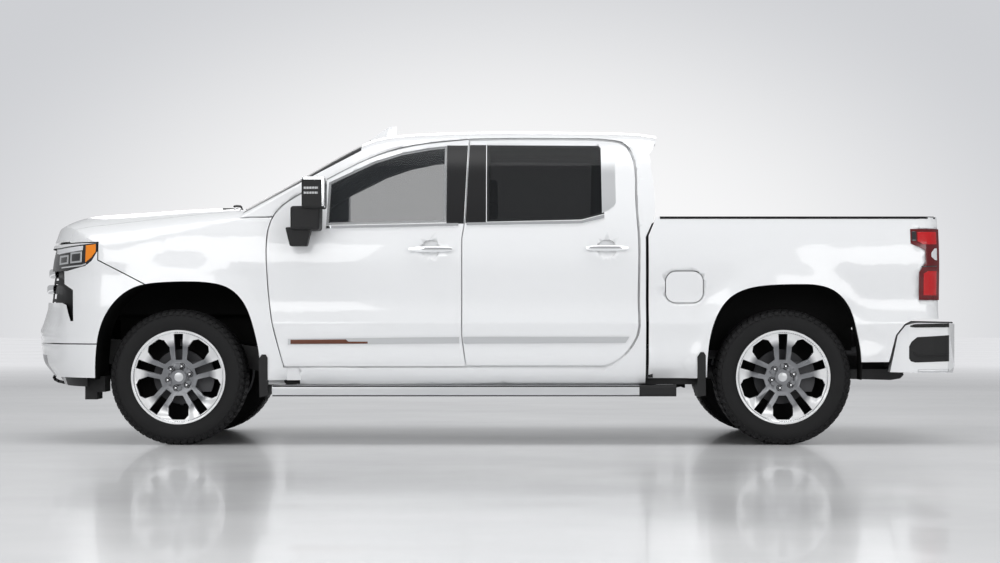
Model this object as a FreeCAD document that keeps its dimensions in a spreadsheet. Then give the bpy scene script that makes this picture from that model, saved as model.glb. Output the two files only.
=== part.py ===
import FreeCAD
import Part
import math
import os
from FreeCAD import Placement, Rotation, Vector

# Full-size crew-cab pickup truck with a short load bed
# X runs to the rear, Y to the right-hand side and Z up from the ground.
# The origin is on the ground, halfway along the truck.

# Driving sizes in millimetres, each written once and kept in the spreadsheet
SIZES = {
    # Whole truck
    "front_overhang": 1033.0,
    "wheelbase": 3745.0,
    "rear_overhang": 1107.0,
    "track_width": 1745.0,
    "body_width": 2063.0,
    "shut_gap": 7.0,
    "fit_gap": 0.3,
    "overrun": 400.0,
    # Heights of the body side
    "sill_height": 380.0,
    "crease_height": 760.0,
    "belt_height": 1385.0,
    "rail_height": 1905.0,
    "roof_height": 1994.0,
    "roof_half_width": 715.0,
    "skin_thickness": 10.0,
    # Wheels and tyres
    "tyre_diameter": 838.0,
    "tyre_width": 278.0,
    "tyre_shoulder": 34.0,
    "tyre_bead_wall": 18.0,
    "tread_groove_width": 12.0,
    "tread_groove_depth": 9.0,
    "rim_radius": 292.0,
    "rim_seat_radius": 279.0,
    "rim_width": 236.0,
    "rim_wall": 13.0,
    "rim_lip": 16.0,
    "wheel_face_inset": 14.0,
    "wheel_face_depth": 42.0,
    "wheel_dish": 30.0,
    "wheel_step_radius": 204.0,
    "wheel_step_depth": 9.0,
    "hub_pad_radius": 98.0,
    "hub_pad_depth": 70.0,
    "cap_radius": 45.5,
    "cap_height": 16.0,
    "lug_circle_radius": 69.85,
    "lug_radius": 13.0,
    "lug_height": 18.0,
    "spoke_pairs": 5.0,
    "lug_count": 6.0,
    "slot_half_width": 27.0,
    "spindle_radius": 38.0,
    "spindle_gap": 1.0,
    "disc_radius": 170.0,
    "disc_thickness": 28.0,
    "disc_setback": 50.0,
    # Wheel arches
    "front_arch_length": 512.0,
    "front_arch_height": 593.0,
    "rear_arch_length": 476.0,
    "rear_arch_height": 576.0,
    "arch_fade": 0.34,
    "liner_thickness": 8.0,
    "liner_inner_half": 500.0,
    # Front clip: fenders, hood and nose are cut from one shell
    "clip_wall": 24.0,
    "nose_length": 667.5,
    "nose_power": 2.2,
    "hood_base_height": 900.0,
    "hood_front_height": 1262.0,
    "hood_height": 1487.0,
    "hood_tip_height": 1282.0,
    "hood_tip_setback": 135.5,
    "hood_rear_setback": 309.5,
    "hood_front_half": 792.0,
    "hood_rear_half": 828.0,
    "hood_corner_sweep": 52.0,
    "hood_hinge_setback": 409.5,
    "hood_hinge_height": 1475.0,
    # Front lamps, grille and bumper
    "lamp_depth": 110.0,
    "lamp_inner_half": 620.0,
    "lamp_gap": 0.3,
    "lamp_base_height": 880.0,
    "bumper_wall": 60.0,
    "bumper_split_height": 628.0,
    "bumper_bottom_height": 415.0,
    "grille_bar_proud": 16.0,
    "grille_bar_depth": 34.0,
    "grille_bar_height": 44.0,
    "grille_upper_bar": 1076.0,
    "grille_lower_bar": 962.0,
    "grille_mesh_setback": 46.0,
    "grille_mesh_wall": 10.0,
    "radiator_setback": 382.0,
    "radiator_depth": 60.0,
    "radiator_beam": 110.0,
    "grille_mesh_bottom": 772.0,
    "grille_slat_pitch": 58.0,
    "grille_slat_height": 18.0,
    "grille_rib_count": 5.0,
    "grille_rib_width": 14.0,
    "valance_bottom": 359.0,
    "valance_inset": 30.0,
    "valance_wall": 26.0,
    # Doors
    "door_front_setback": 550.5,
    "front_door_length": 1201.0,
    "rear_door_length": 1101.0,
    "door_bottom": 486.0,
    "door_top": 1907.0,
    "door_depth": 110.0,
    "door_frame_depth": 50.0,
    "door_inset": 53.0,
    "seal_gap": 16.0,
    "hinge_leaf_height": 80.0,
    "hinge_leaf_half": 960.0,
    "skin_gap": 8.0,
    "hinge_setback": 8.0,
    "hinge_half_width": 1013.0,
    "glass_thickness": 5.0,
    "glass_recess": 2.0,
    "glass_ledge": 14.0,
    "trim_thickness": 8.0,
    "handle_reach": 34.0,
    "handle_thickness": 14.0,
    "handle_post_radius": 12.0,
    "handle_cup_radius": 58.0,
    "handle_cup_depth": 22.0,
    "belt_strip_height": 16.0,
    # Cab
    "cab_rear_gap": 42.0,
    "bed_gap": 18.0,
    "cab_lean": 63.0,
    "screen_base_height": 1480.0,
    "screen_base_setback": 349.5,
    "screen_drop": 110.0,
    "roof_drop": 86.0,
    "cab_wall": 132.0,
    "cab_frame_wall": 58.0,
    "roof_wall": 40.0,
    "floor_height": 610.0,
    "floor_thickness": 30.0,
    "rocker_width": 105.0,
    "rear_wall": 50.0,
    "firewall_setback": 536.0,
    "firewall_thickness": 50.0,
    "cowl_height": 1345.0,
    "cowl_thickness": 40.0,
    "rear_window_half": 610.0,
    "rear_window_bottom": 1455.0,
    "rear_window_top": 1835.0,
    "fin_length": 175.0,
    "fin_height": 62.0,
    "fin_width": 40.0,
    "fin_setback": 1304.5,
    # Load bed
    "bed_tail": 966.5,
    "bed_rail_height": 1413.0,
    "bed_bottom_height": 412.0,
    "bed_floor_height": 880.0,
    "bed_floor_thickness": 30.0,
    "bed_wall": 20.0,
    "bed_inner_half": 830.0,
    "bedside_wall": 24.0,
    "bed_cap_height": 22.0,
    "wheelhouse_half": 640.0,
    "wheelhouse_height": 1120.0,
    "wheelhouse_length": 960.0,
    "bed_header_setback": 54.0,
    "tail_column": 110.0,
    "tail_round": 160.0,
    "tail_round_depth": 48.0,
    "tail_lamp_bottom": 897.0,
    "tail_lamp_top": 1337.0,
    "tail_lamp_length": 178.0,
    "tail_lamp_depth": 62.0,
    "tail_lamp_proud": 8.0,
    "tailgate_bottom": 790.0,
    "tailgate_thickness": 62.0,
    "tailgate_gap": 8.0,
    "tailgate_pin_radius": 9.0,
    "tailgate_hinge_inset": 30.0,
    "tailgate_hinge_height": 800.0,
    "fuel_door_setback": 726.5,
    "fuel_door_length": 229.0,
    "fuel_door_bottom": 881.0,
    "fuel_door_height": 192.0,
    "fuel_door_radius": 62.0,
    "fuel_door_gap": 5.0,
    "fuel_pocket_depth": 60.0,
    # Rear bumper
    "rear_bumper_setback": 661.5,
    "rear_bumper_bottom": 447.0,
    "rear_bumper_top": 770.0,
    "rear_bumper_wall": 90.0,
    "rear_bumper_half": 1004.0,
    # Frame and running gear
    "rail_outer_half": 470.0,
    "rail_width": 72.0,
    "rail_depth": 150.0,
    "rail_wall": 10.0,
    "rail_front_setback": 190.0,
    "cross_tube_radius": 25.0,
    "kingpin_half": 790.0,
    "lower_joint_drop": 128.0,
    "upper_joint_rise": 190.0,
    "arm_spread": 210.0,
    "knuckle_width": 70.0,
    "steering_arm": 150.0,
    "spindle_reach": 56.0,
    "disc_offset": 16.0,
    "caliper_gap": 6.0,
    "caliper_width": 42.0,
    "axle_tube_radius": 46.0,
    "differential_radius": 165.0,
    "spring_width": 76.0,
    "spring_thickness": 34.0,
    "spring_half": 551.0,
    "spring_reach": 680.0,
    "arm_thickness": 36.0,
    "joint_boss": 16.0,
    "shock_radius": 55.0,
    "shock_height": 774.0,
    "tower_thickness": 16.0,
    "shaft_radius": 44.0,
    "engine_length": 760.0,
    "engine_setback": 420.0,
    "engine_width": 640.0,
    "engine_height": 560.0,
    "engine_bottom": 560.0,
    "gearbox_length": 900.0,
    "gearbox_width": 330.0,
    "gearbox_bottom": 365.0,
    "gearbox_height": 205.0,
    "tank_length": 650.0,
    "tank_width": 330.0,
    "tank_height": 190.0,
    "tank_setback": 1745.0,
    "tank_bottom": 380.0,
    "pipe_radius": 38.0,
    "pipe_half": 238.0,
    "pipe_height": 463.0,
    "muffler_radius": 105.0,
    "spare_radius": 370.0,
    "spare_width": 235.0,
    "spare_setback": 542.0,
    # Running boards and mud flaps
    "board_height": 300.0,
    "board_thickness": 70.0,
    "board_width": 165.0,
    "board_outer_half": 1010.0,
    "board_front_setback": 582.5,
    "board_length": 2500.0,
    "flap_width": 300.0,
    "flap_thickness": 12.0,
    "flap_bottom": 300.0,
    "flap_height": 270.0,
    # Mirrors
    "mirror_half": 1065.0,
    "mirror_width": 150.0,
    "mirror_setback": 781.5,
    "mirror_length": 146.0,
    "mirror_bottom": 1453.0,
    "mirror_height": 197.0,
    "mirror_rounding": 18.0,
    "mirror_arm_setback": 710.5,
    "mirror_arm_length": 179.0,
    "mirror_arm_height": 129.0,
    "mirror_pod_setback": 676.5,
    "mirror_pod_length": 161.0,
    "mirror_pod_height": 116.0,
    # Seats and controls
    "seat_height": 900.0,
    "seat_cushion": 150.0,
    "seat_width": 540.0,
    "seat_depth": 540.0,
    "seat_half": 400.0,
    "seat_setback": 1310.0,
    "rear_seat_setback": 2160.0,
    "backrest_height": 620.0,
    "backrest_thickness": 150.0,
    "headrest_width": 260.0,
    "steering_hub_depth": 48.0,
    "dash_depth": 330.0,
    "dash_height": 1330.0,
    "steering_wheel_radius": 192.0,
    "steering_rim_radius": 16.0,
    "steering_wheel_height": 1195.0,
    "steering_wheel_setback": 1010.0,
    "steering_wheel_tilt": 25.0,
}

doc = FreeCAD.newDocument("Pickup")
sheet = doc.addObject("Spreadsheet::Sheet", "Sizes")
row = 0
for alias, value in SIZES.items():
    row += 1
    sheet.set("A%d" % row, alias)
    sheet.set("B%d" % row, str(value))
    sheet.setAlias("B%d" % row, alias)
doc.recompute()

nodes = []


def size(alias):
    return sheet.get(alias)


def add_code(label, shape):
    # A node whose surfaces only code can describe
    node = doc.addObject("Part::Feature", label)
    node.Label = label
    node.Shape = shape
    nodes.append(node)
    return node


# Places that several pieces share
half_length = (size("front_overhang") + size("wheelbase") + size("rear_overhang")) / 2
nose_x = -half_length
tail_x = half_length
front_axle_x = nose_x + size("front_overhang")
rear_axle_x = front_axle_x + size("wheelbase")
axle_z = size("tyre_diameter") / 2
wheel_half = size("track_width") / 2
body_half = size("body_width") / 2
gap = size("shut_gap")
overrun = size("overrun")
door_front_x = front_axle_x + size("door_front_setback")
pillar_x = door_front_x + size("front_door_length")
rear_door_x = pillar_x + size("rear_door_length")
cab_rear_x = rear_door_x + size("cab_rear_gap")
bed_front_x = cab_rear_x + size("bed_gap")
bed_rear_x = rear_axle_x + size("bed_tail")
far_y = body_half + overrun


# Plain shape helpers
def box_between(x_from, x_to, y_from, y_to, z_from, z_to):
    corner = Vector(x_from, y_from, z_from)
    return Part.makeBox(x_to - x_from, y_to - y_from, z_to - z_from, corner)


def rod(start, end, radius):
    return Part.makeCylinder(radius, (end - start).Length, start, end - start)


def closed_wire(points):
    return Part.makePolygon(list(points) + [points[0]])


def side_wire(points):
    return closed_wire([Vector(x, 0, z) for x, z in points])


def side_prism(outline, y_from, y_to):
    # An outline drawn in side view, carried across the truck
    if isinstance(outline, list):
        outline = side_wire(outline)
    face = Part.Face(outline)
    face.translate(Vector(0, y_from, 0))
    return face.extrude(Vector(0, y_to - y_from, 0))


def plan_prism(points, z_from, z_to):
    face = Part.Face(closed_wire([Vector(x, y, z_from) for x, y in points]))
    return face.extrude(Vector(0, 0, z_to - z_from))


def mirrored(shape):
    return shape.mirror(Vector(0, 0, 0), Vector(0, 1, 0))


def both_sides(shape):
    return Part.makeCompound([shape, mirrored(shape)])


def fused(shapes):
    return shapes[0].fuse(list(shapes[1:])).removeSplitter()


def placed(shares, x_from, x_to, z_from, z_to):
    # Shares of a span turned into places in side view
    span_x = x_to - x_from
    span_z = z_to - z_from
    return [(x_from + a * span_x, z_from + b * span_z) for a, b in shares]


def between(value, table):
    # Straight interpolation in a table of pairs
    if value <= table[0][0]:
        return table[0][1]
    for (a, p), (b, q) in zip(table, table[1:]):
        if value <= b:
            return p + (q - p) * (value - a) / (b - a)
    return table[-1][1]


def smooth_step(share):
    share = min(max(share, 0), 1)
    return share * share * (3 - 2 * share)


# Body side: half width at any place, by height and then by the arch flares
SILL_SHARES = [(0.45, 0.890), (0.496, 0.902), (0.626, 0.955), (0.816, 0.977), (1.0, 0.987)]
FLANK_SHARES = [
    (0.0, 0.987), (0.064, 0.9753), (0.187, 0.9607), (0.384, 0.9646), (0.594, 0.9704),
    (0.784, 0.9559), (0.912, 0.9384), (1.0, 0.9239),
]
GLASS_INSET_SHARES = [(0.0, 0.0), (0.25, 0.20), (0.5, 0.43), (0.75, 0.69), (1.0, 1.0)]


def plain_half_width(z):
    crease = size("crease_height")
    belt = size("belt_height")
    rail = size("rail_height")
    if z <= crease:
        return body_half * between(z / crease, SILL_SHARES)
    if z <= belt:
        return body_half * between((z - crease) / (belt - crease), FLANK_SHARES)
    belt_half = body_half * FLANK_SHARES[-1][1]
    inset = between((z - belt) / (rail - belt), GLASS_INSET_SHARES)
    return belt_half - inset * (belt_half - size("roof_half_width"))


def half_width(x, z):
    width = plain_half_width(z)
    flare = 0
    arches = (
        (front_axle_x, size("front_arch_length"), size("front_arch_height")),
        (rear_axle_x, size("rear_arch_length"), size("rear_arch_height")),
    )
    for centre, length, height in arches:
        reach = math.hypot((x - centre) / length, (z - axle_z) / height)
        flare += 1 - smooth_step((reach - 1) / size("arch_fade"))
    if z < size("belt_height"):
        width += (body_half - width) * min(flare, 1)
    round_start = bed_rear_x - size("tail_round")
    if x > round_start:
        share = (x - round_start) / size("tail_round")
        width -= size("tail_round_depth") * share * share * share
    return width


SILL_ROWS = (0.45, 0.496, 0.626, 0.816, 0.95, 1.0)
FLANK_ROWS = (0.02, 0.064, 0.187, 0.384, 0.594, 0.784, 0.912, 1.0)
GLASS_ROWS = (0.25, 0.5, 0.75, 1.0, 1.05)


def side_rows():
    crease = size("crease_height")
    belt = size("belt_height")
    rail = size("rail_height")
    heights = [share * crease for share in SILL_ROWS]
    heights += [crease + share * (belt - crease) for share in FLANK_ROWS]
    return heights + [belt + share * (rail - belt) for share in GLASS_ROWS]


def side_slab(x_from, x_to, columns, start, depth):
    # A slab of the left body side; start is how far in from the outer face it begins
    heights = side_rows()
    grid = []
    for step in range(columns + 1):
        x = x_from + (x_to - x_from) * step / columns
        grid.append([Vector(x, start - half_width(x, z), z) for z in heights])
    surface = Part.BSplineSurface()
    surface.interpolate(grid)
    return surface.toShape().extrude(Vector(0, depth, 0))


# Frame rails: lower edge in side view
RAIL_SHARES = [
    (0.0, 0.30), (0.12, 0.42), (0.185, 0.42), (0.245, 0.0), (0.678, 0.0), (0.755, 0.72),
    (0.90, 0.72), (1.0, 0.55),
]
rail_front_x = nose_x + size("rail_front_setback")
rail_rear_x = bed_rear_x
rail_base = size("floor_height") - size("floor_thickness") - size("rail_depth") - size("fit_gap")


def rail_line():
    length = rail_rear_x - rail_front_x
    lift = size("rail_depth") * 1.1
    return [(rail_front_x + a * length, rail_base + b * lift) for a, b in RAIL_SHARES]


# Front clip: a nose rounded in plan, crossed with a crowned hood section
NOSE_SHARES = [
    (0.25, 0.175), (0.278, 0.145), (0.318, 0.097), (0.361, 0.044), (0.404, 0.017),
    (0.440, 0.0034), (0.505, 0.0055), (0.566, 0.024), (0.635, 0.056), (0.693, 0.064),
    (0.765, 0.076), (0.817, 0.087), (0.866, 0.101), (0.910, 0.121), (0.960, 0.146),
    (1.011, 0.184), (1.10, 0.26),
]
HOOD_SHARES = [
    (-0.119, -1.2), (-0.07, -0.68), (-0.036, -0.30), (0.0, 0.0), (0.036, 0.244), (0.075, 0.44),
    (0.123, 0.605), (0.205, 0.756), (0.380, 0.849), (0.586, 0.912), (0.792, 0.975), (0.956, 1.0),
    (1.10, 1.003), (1.30, 1.006),
]
HOOD_POWER_SHARES = [(-0.12, 3.0), (0.2, 3.2), (0.5, 3.7), (0.8, 4.6), (1.1, 5.8), (1.3, 6.2)]
clip_rear_x = door_front_x + size("hinge_half_width") * 0.16
nose_start_x = nose_x + size("nose_length")


def nose_wire(z, inset):
    # Plan curve of the clip at one height, left side to right side
    setback = size("front_overhang") * between(z / size("belt_height"), NOSE_SHARES)
    reach = size("nose_length") - setback - inset
    base = half_width(nose_start_x, z) - inset
    power = 2 / size("nose_power")
    left = []
    columns = 16
    for step in range(columns):
        x = clip_rear_x + (nose_start_x - clip_rear_x) * step / columns
        left.append(Vector(x, inset - half_width(x, z), z))
    turns = 12
    for step in range(turns):
        angle = math.pi / 2 * step / turns
        x = nose_start_x - reach * math.sin(angle) ** power
        left.append(Vector(x, -base * math.cos(angle) ** power, z))
    tip = Vector(nose_start_x - reach, 0, z)
    right = [Vector(p.x, -p.y, p.z) for p in reversed(left)]
    points = left + [tip] + right
    curve = Part.BSplineCurve()
    last = len(points) - 1
    curve.interpolate(points, Parameters=[i / last for i in range(last + 1)])
    return Part.Wire([curve.toShape(), Part.makeLine(points[-1], points[0])])


def nose_solid(inset):
    heights = [share * size("belt_height") for share, setback in NOSE_SHARES]
    return Part.makeLoft([nose_wire(z, inset) for z in heights], True, False)


def hood_wire(x, share, inset):
    base = size("hood_base_height")
    rise = size("hood_height") - size("hood_tip_height")
    top = size("hood_tip_height") + rise * between(share, HOOD_SHARES) - inset
    power = 2 / between(share, HOOD_POWER_SHARES)
    wide = body_half - inset
    points = []
    turns = 20
    for step in range(turns + 1):
        angle = math.pi * step / turns
        across = abs(math.cos(angle)) ** power
        up = abs(math.sin(angle)) ** power
        side = -1 if step < turns / 2 else 1
        points.append(Vector(x, side * wide * across, base + (top - base) * up))
    curve = Part.BSplineCurve()
    curve.interpolate(points, Parameters=[i / turns for i in range(turns + 1)])
    low = size("sill_height") - overrun
    left = Vector(x, -wide, low)
    right = Vector(x, wide, low)
    lines = [Part.makeLine(points[-1], right), Part.makeLine(right, left)]
    lines.append(Part.makeLine(left, points[0]))
    return Part.Wire([curve.toShape()] + lines)


hood_tip_x = nose_x + size("hood_tip_setback")
hood_rear_x = front_axle_x + size("hood_rear_setback")


def hood_solid(inset):
    wires = []
    for share, rise in HOOD_SHARES:
        x = hood_tip_x + share * (hood_rear_x - hood_tip_x)
        wires.append(hood_wire(x, share, inset))
    return Part.makeLoft(wires, True, False)


def clip_solid(inset):
    return nose_solid(inset).common(hood_solid(inset))


# Outlines in side view, as shares of the spans that they follow
FRONT_ARCH_SHARES = [
    (-1.0, -0.35), (-0.999, -0.007), (-0.976, 0.352), (-0.931, 0.531), (-0.813, 0.732),
    (-0.677, 0.860), (-0.491, 0.949), (-0.214, 0.990), (0.108, 1.0), (0.407, 0.985),
    (0.616, 0.931), (0.755, 0.830), (0.870, 0.651), (0.938, 0.452), (0.985, 0.253),
    (1.0, -0.029), (1.0, -0.35),
]
REAR_ARCH_SHARES = [
    (-1.0, -0.35), (-0.999, -0.030), (-0.984, 0.280), (-0.942, 0.488), (-0.831, 0.720),
    (-0.690, 0.861), (-0.465, 0.953), (-0.127, 0.993), (0.211, 1.0), (0.549, 0.970),
    (0.717, 0.896), (0.858, 0.745), (0.942, 0.512), (0.999, 0.255), (1.0, -0.030),
    (1.0, -0.35),
]
FRONT_DOOR_SHARES = [
    (0.090, 0.0), (0.067, 0.070), (0.030, 0.194), (0.007, 0.350), (0.0, 0.450),
    (0.002, 0.575), (0.030, 0.653), (0.076, 0.700), (0.177, 0.758), (0.316, 0.824),
    (0.555, 0.925), (0.693, 0.963), (0.830, 0.983), (1.037, 1.0),
]
PILLAR_SHARES = [(1.017, 0.641), (1.0, 0.557), (1.0, 0.131), (1.022, 0.0)]
REAR_DOOR_FRONT_SHARES = [(0.024, 0.0), (0.0, 0.131), (0.0, 0.557), (0.018, 0.641), (0.040, 1.0)]
REAR_DOOR_SHARES = [
    (0.30, 1.004), (0.60, 1.003), (0.848, 0.996), (0.935, 0.975), (0.973, 0.925),
    (0.989, 0.741), (1.0, 0.574), (1.0, 0.240), (0.992, 0.139), (0.967, 0.098),
    (0.881, 0.027), (0.806, 0.0),
]
FRONT_GLASS_SHARES = [
    (0.923, 0.628), (0.923, 0.972), (0.825, 0.963), (0.685, 0.940), (0.545, 0.901),
    (0.312, 0.806), (0.303, 0.616),
]
REAR_GLASS_SHARES = [
    (0.144, 0.631), (0.144, 0.976), (0.779, 0.973), (0.806, 0.955), (0.806, 0.666),
    (0.676, 0.640),
]
LAMP_SHARES = [
    (-0.10, 0.839), (0.246, 0.863), (0.512, 0.925), (0.514, 0.801), (0.478, 0.647),
    (0.436, 0.570), (0.309, 0.493), (-0.10, 0.493),
]
GRILLE_SHARES = [
    (-0.10, 0.493), (0.285, 0.522), (0.291, 0.291), (0.355, 0.199), (0.364, -0.284),
    (0.345, -0.284), (0.309, -0.035), (0.267, -0.002), (-0.10, 0.012),
]
FASCIA_SHARES = [(-0.10, 0.90), (0.512, 0.925), (0.514, 0.652), (0.800, 0.280), (0.80, -1.3), (-0.10, -1.3)]
TAIL_LAMP_SHARES = [
    (0.0, 1.0), (1.0, 1.0), (1.0, 0.0), (0.275, 0.0), (0.275, 0.393), (0.500, 0.534),
    (0.480, 0.702), (0.208, 0.759), (0.0, 0.791),
]
BEDSIDE_SHARES = [
    (0.0, 0.0), (0.0, 0.882), (0.028, 1.0), (1.0, 1.0), (1.0, 0.368), (0.916, 0.368),
    (0.879, 0.338), (0.849, 0.268), (0.825, 0.101), (0.715, 0.101), (0.160, 0.0),
]
REAR_BUMPER_SHARES = [
    (0.0, 0.009), (0.105, 0.721), (0.218, 0.913), (0.357, 1.0), (0.86, 1.0), (1.02, 0.88),
    (1.02, 0.75), (0.96, 0.24), (0.90, 0.0), (0.357, 0.0),
]


def arch_outline(shares, axle_x, length, height, grow):
    points = placed(shares, axle_x, axle_x + length + grow, axle_z, axle_z + height + grow)
    curve = Part.BSplineCurve()
    curve.interpolate([Vector(x, 0, z) for x, z in points])
    closing = Part.makeLine(Vector(points[-1][0], 0, points[-1][1]), Vector(points[0][0], 0, points[0][1]))
    return Part.Wire([curve.toShape(), closing])


def front_arch(grow=0.0):
    length = size("front_arch_length")
    return arch_outline(FRONT_ARCH_SHARES, front_axle_x, length, size("front_arch_height"), grow)


def rear_arch(grow=0.0):
    length = size("rear_arch_length")
    return arch_outline(REAR_ARCH_SHARES, rear_axle_x, length, size("rear_arch_height"), grow)


def moved_out(points, distance):
    # Corners of a closed outline moved outwards, square to their edges
    count = len(points)
    area = sum(a[0] * b[1] - b[0] * a[1] for a, b in zip(points, points[1:] + points[:1]))
    turn = 1 if area > 0 else -1
    result = []
    for index, (x, z) in enumerate(points):
        before = points[index - 1]
        after = points[(index + 1) % count]
        first = Vector(x - before[0], 0, z - before[1]).normalize()
        second = Vector(after[0] - x, 0, after[1] - z).normalize()
        normal = Vector(first.z + second.z, 0, -first.x - second.x) * turn
        reach = 2 * distance / (normal.Length * normal.Length)
        result.append((x + normal.x * reach, z + normal.z * reach))
    return result


def outline_wire(groups, grow=0.0):
    # Groups of points that share their ends: two points are a line, more a smooth curve
    flat = [point for group in groups for point in group[:-1]]
    if grow:
        flat = moved_out(flat, grow)
    flat.append(flat[0])
    edges = []
    start = 0
    for group in groups:
        part = [Vector(x, 0, z) for x, z in flat[start:start + len(group)]]
        start += len(group) - 1
        if len(part) == 2:
            edges.append(Part.makeLine(part[0], part[1]))
        else:
            curve = Part.BSplineCurve()
            curve.interpolate(part)
            edges.append(curve.toShape())
    return Part.Wire(edges)


def straight_groups(points):
    return [list(pair) for pair in zip(points, points[1:])]


def straight_wire(points, grow=0.0):
    return outline_wire(straight_groups(points + [points[0]]), grow)


def front_door_cut(grow=0.0):
    span = (door_front_x, pillar_x, size("door_bottom"), size("door_top"))
    front = placed(FRONT_DOOR_SHARES, *span)
    pillar = placed(PILLAR_SHARES, *span)
    return outline_wire([front] + straight_groups([front[-1]] + pillar + [front[0]]), grow)


def rear_door_cut(grow=0.0):
    span = (pillar_x, rear_door_x, size("door_bottom"), size("door_top"))
    pillar = placed(REAR_DOOR_FRONT_SHARES, *span)
    rear = placed(REAR_DOOR_SHARES, *span)
    groups = straight_groups(pillar) + [[pillar[-1]] + rear, [rear[-1], pillar[0]]]
    return outline_wire(groups, grow)


def nose_zone(shares, grow=0.0):
    low = size("lamp_base_height")
    points = placed(shares, nose_x, front_axle_x, low, size("hood_tip_height"))
    return side_prism(straight_wire(points, grow), -far_y, far_y)


clip_outer = clip_solid(0)
clip_inner = clip_solid(size("clip_wall"))
clip_shell = clip_outer.cut(clip_inner)
front_opening = side_prism(front_arch(), -far_y, far_y)


# Hood
def hood_plan(grow):
    front_half = size("hood_front_half") + grow
    rear_half = size("hood_rear_half") + grow
    corner_x = hood_rear_x + size("hood_corner_sweep") + grow
    front_x = nose_x - overrun
    points = [(front_x, -front_half), (corner_x, -rear_half), (hood_rear_x + grow, 0)]
    points += [(corner_x, rear_half), (front_x, front_half)]
    return points


def hood_zone(grow):
    low = size("hood_front_height") - grow
    return plan_prism(hood_plan(grow), low, size("hood_height") + overrun)


def make_hood():
    return clip_shell.common(hood_zone(0))


# Fenders
def make_fenders():
    fascia = nose_zone(FASCIA_SHARES, gap)
    door = side_prism(front_door_cut(gap), -far_y, far_y)
    door_side = box_between(door_front_x, clip_rear_x + overrun, -far_y, far_y, 0, size("rail_height"))
    low = box_between(nose_x - overrun, 0, -far_y, far_y, 0, size("bumper_bottom_height") - gap * 2)
    inner = box_between(nose_x - overrun, 0, -size("hood_front_half"), size("hood_front_half"), 0, size("rail_height"))
    cuts = [hood_zone(gap), fascia, nose_zone(LAMP_SHARES, size("lamp_gap")), front_opening, door, low]
    cuts.append(inner)
    pillar_room = box_between(door_front_x + size("clip_wall"), 0, -far_y, far_y, size("belt_height"), size("rail_height"))
    cuts.append(pillar_room)
    return clip_shell.cut(cuts)


# Front fascia above the split, bumper below it
def make_fascia():
    zone = nose_zone(FASCIA_SHARES)
    piece = clip_shell.common(zone)
    split = size("bumper_split_height")
    low = box_between(nose_x - overrun, 0, -far_y, far_y, 0, split)
    return piece.cut([low, nose_zone(LAMP_SHARES, size("lamp_gap")), nose_zone(GRILLE_SHARES), front_opening, hood_zone(gap)])


def bumper_blank():
    zone = nose_zone(FASCIA_SHARES)
    top = size("bumper_split_height") - gap
    band = box_between(nose_x - overrun, front_axle_x, -far_y, far_y, size("bumper_bottom_height"), top)
    shell = nose_solid(0).cut(nose_solid(size("bumper_wall")))
    return shell.common(zone).common(band)


def rail_bracket(x_from, x_to, z_from, z_to):
    outer = size("rail_outer_half")
    bracket = box_between(x_from, x_to, -outer, size("rail_width") - outer, z_from, z_to)
    return [bracket, mirrored(bracket)]


def make_front_bumper():
    low = rail_line()[0][1]
    wall = size("rail_wall")
    top = size("bumper_split_height") - gap * 2
    core = nose_solid(size("clip_wall"))
    brackets = rail_bracket(nose_x, rail_front_x - size("fit_gap"), low + wall, top)
    brackets = [bracket.common(core) for bracket in brackets]
    return fused([front_bumper_blank.cut(front_opening)] + brackets)


def make_headlamps():
    inset = size("lamp_gap")
    body = nose_solid(inset).cut(nose_solid(size("lamp_depth")))
    body = body.common(nose_zone(LAMP_SHARES))
    middle = box_between(nose_x - overrun, 0, -size("lamp_inner_half"), size("lamp_inner_half"), 0, size("roof_height"))
    return body.cut([middle])


def lamp_room():
    # Room of both head lamps, free of the grille between them
    half = size("lamp_inner_half") - size("lamp_gap")
    middle = box_between(nose_x - overrun, 0, -half, half, 0, size("roof_height"))
    return nose_zone(LAMP_SHARES, size("lamp_gap")).cut(middle)


def make_grille():
    shell = nose_solid(-size("grille_bar_proud")).cut(nose_solid(size("grille_bar_depth")))
    zone = nose_zone(GRILLE_SHARES)
    bars = []
    half = size("grille_bar_height") / 2
    for height in (size("grille_upper_bar"), size("grille_lower_bar")):
        bars.append(box_between(nose_x - overrun, front_axle_x, -far_y, far_y, height - half, height + half))
    return shell.common(fused(bars)).common(zone).cut(lamp_room())


def make_grille_mesh():
    # Slats between the bars, tied by upright ribs and a frame around the opening
    setback = size("grille_mesh_setback")
    wall = size("grille_mesh_wall")
    shell = nose_solid(setback).cut(nose_solid(setback + wall))
    half = size("lamp_inner_half") - size("lamp_gap")
    top = size("hood_front_height") - gap
    low = size("grille_mesh_bottom")
    x_to = front_axle_x
    pitch = size("grille_slat_pitch")
    slat = size("grille_slat_height")
    strips = []
    level = low
    while level + slat < top:
        strips.append(box_between(nose_x, x_to, -half, half, level, level + slat))
        level += pitch
    strips.append(box_between(nose_x, x_to, -half, half, top - slat, top))
    rib = size("grille_rib_width")
    count = int(size("grille_rib_count"))
    for index in range(count):
        y = -half + (2 * half - rib) * index / (count - 1)
        strips.append(box_between(nose_x, x_to, y, y + rib, low, top))
    lattice = strips[0].fuse(strips[1:])
    ears = nose_zone(GRILLE_SHARES).cut(box_between(nose_x, x_to, -half + rib, half - rib, 0, size("roof_height")))
    return shell.common(lattice.fuse(ears)).cut(lamp_room())


def make_valance():
    # Lower lip under the front bumper
    inset = size("valance_inset")
    shell = nose_solid(inset).cut(nose_solid(inset + size("valance_wall")))
    top = size("bumper_bottom_height") - size("fit_gap")
    lip_x = front_axle_x - size("front_arch_length") - size("bumper_wall")
    return shell.common(box_between(nose_x, lip_x, -far_y, far_y, size("valance_bottom"), top))


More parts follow.
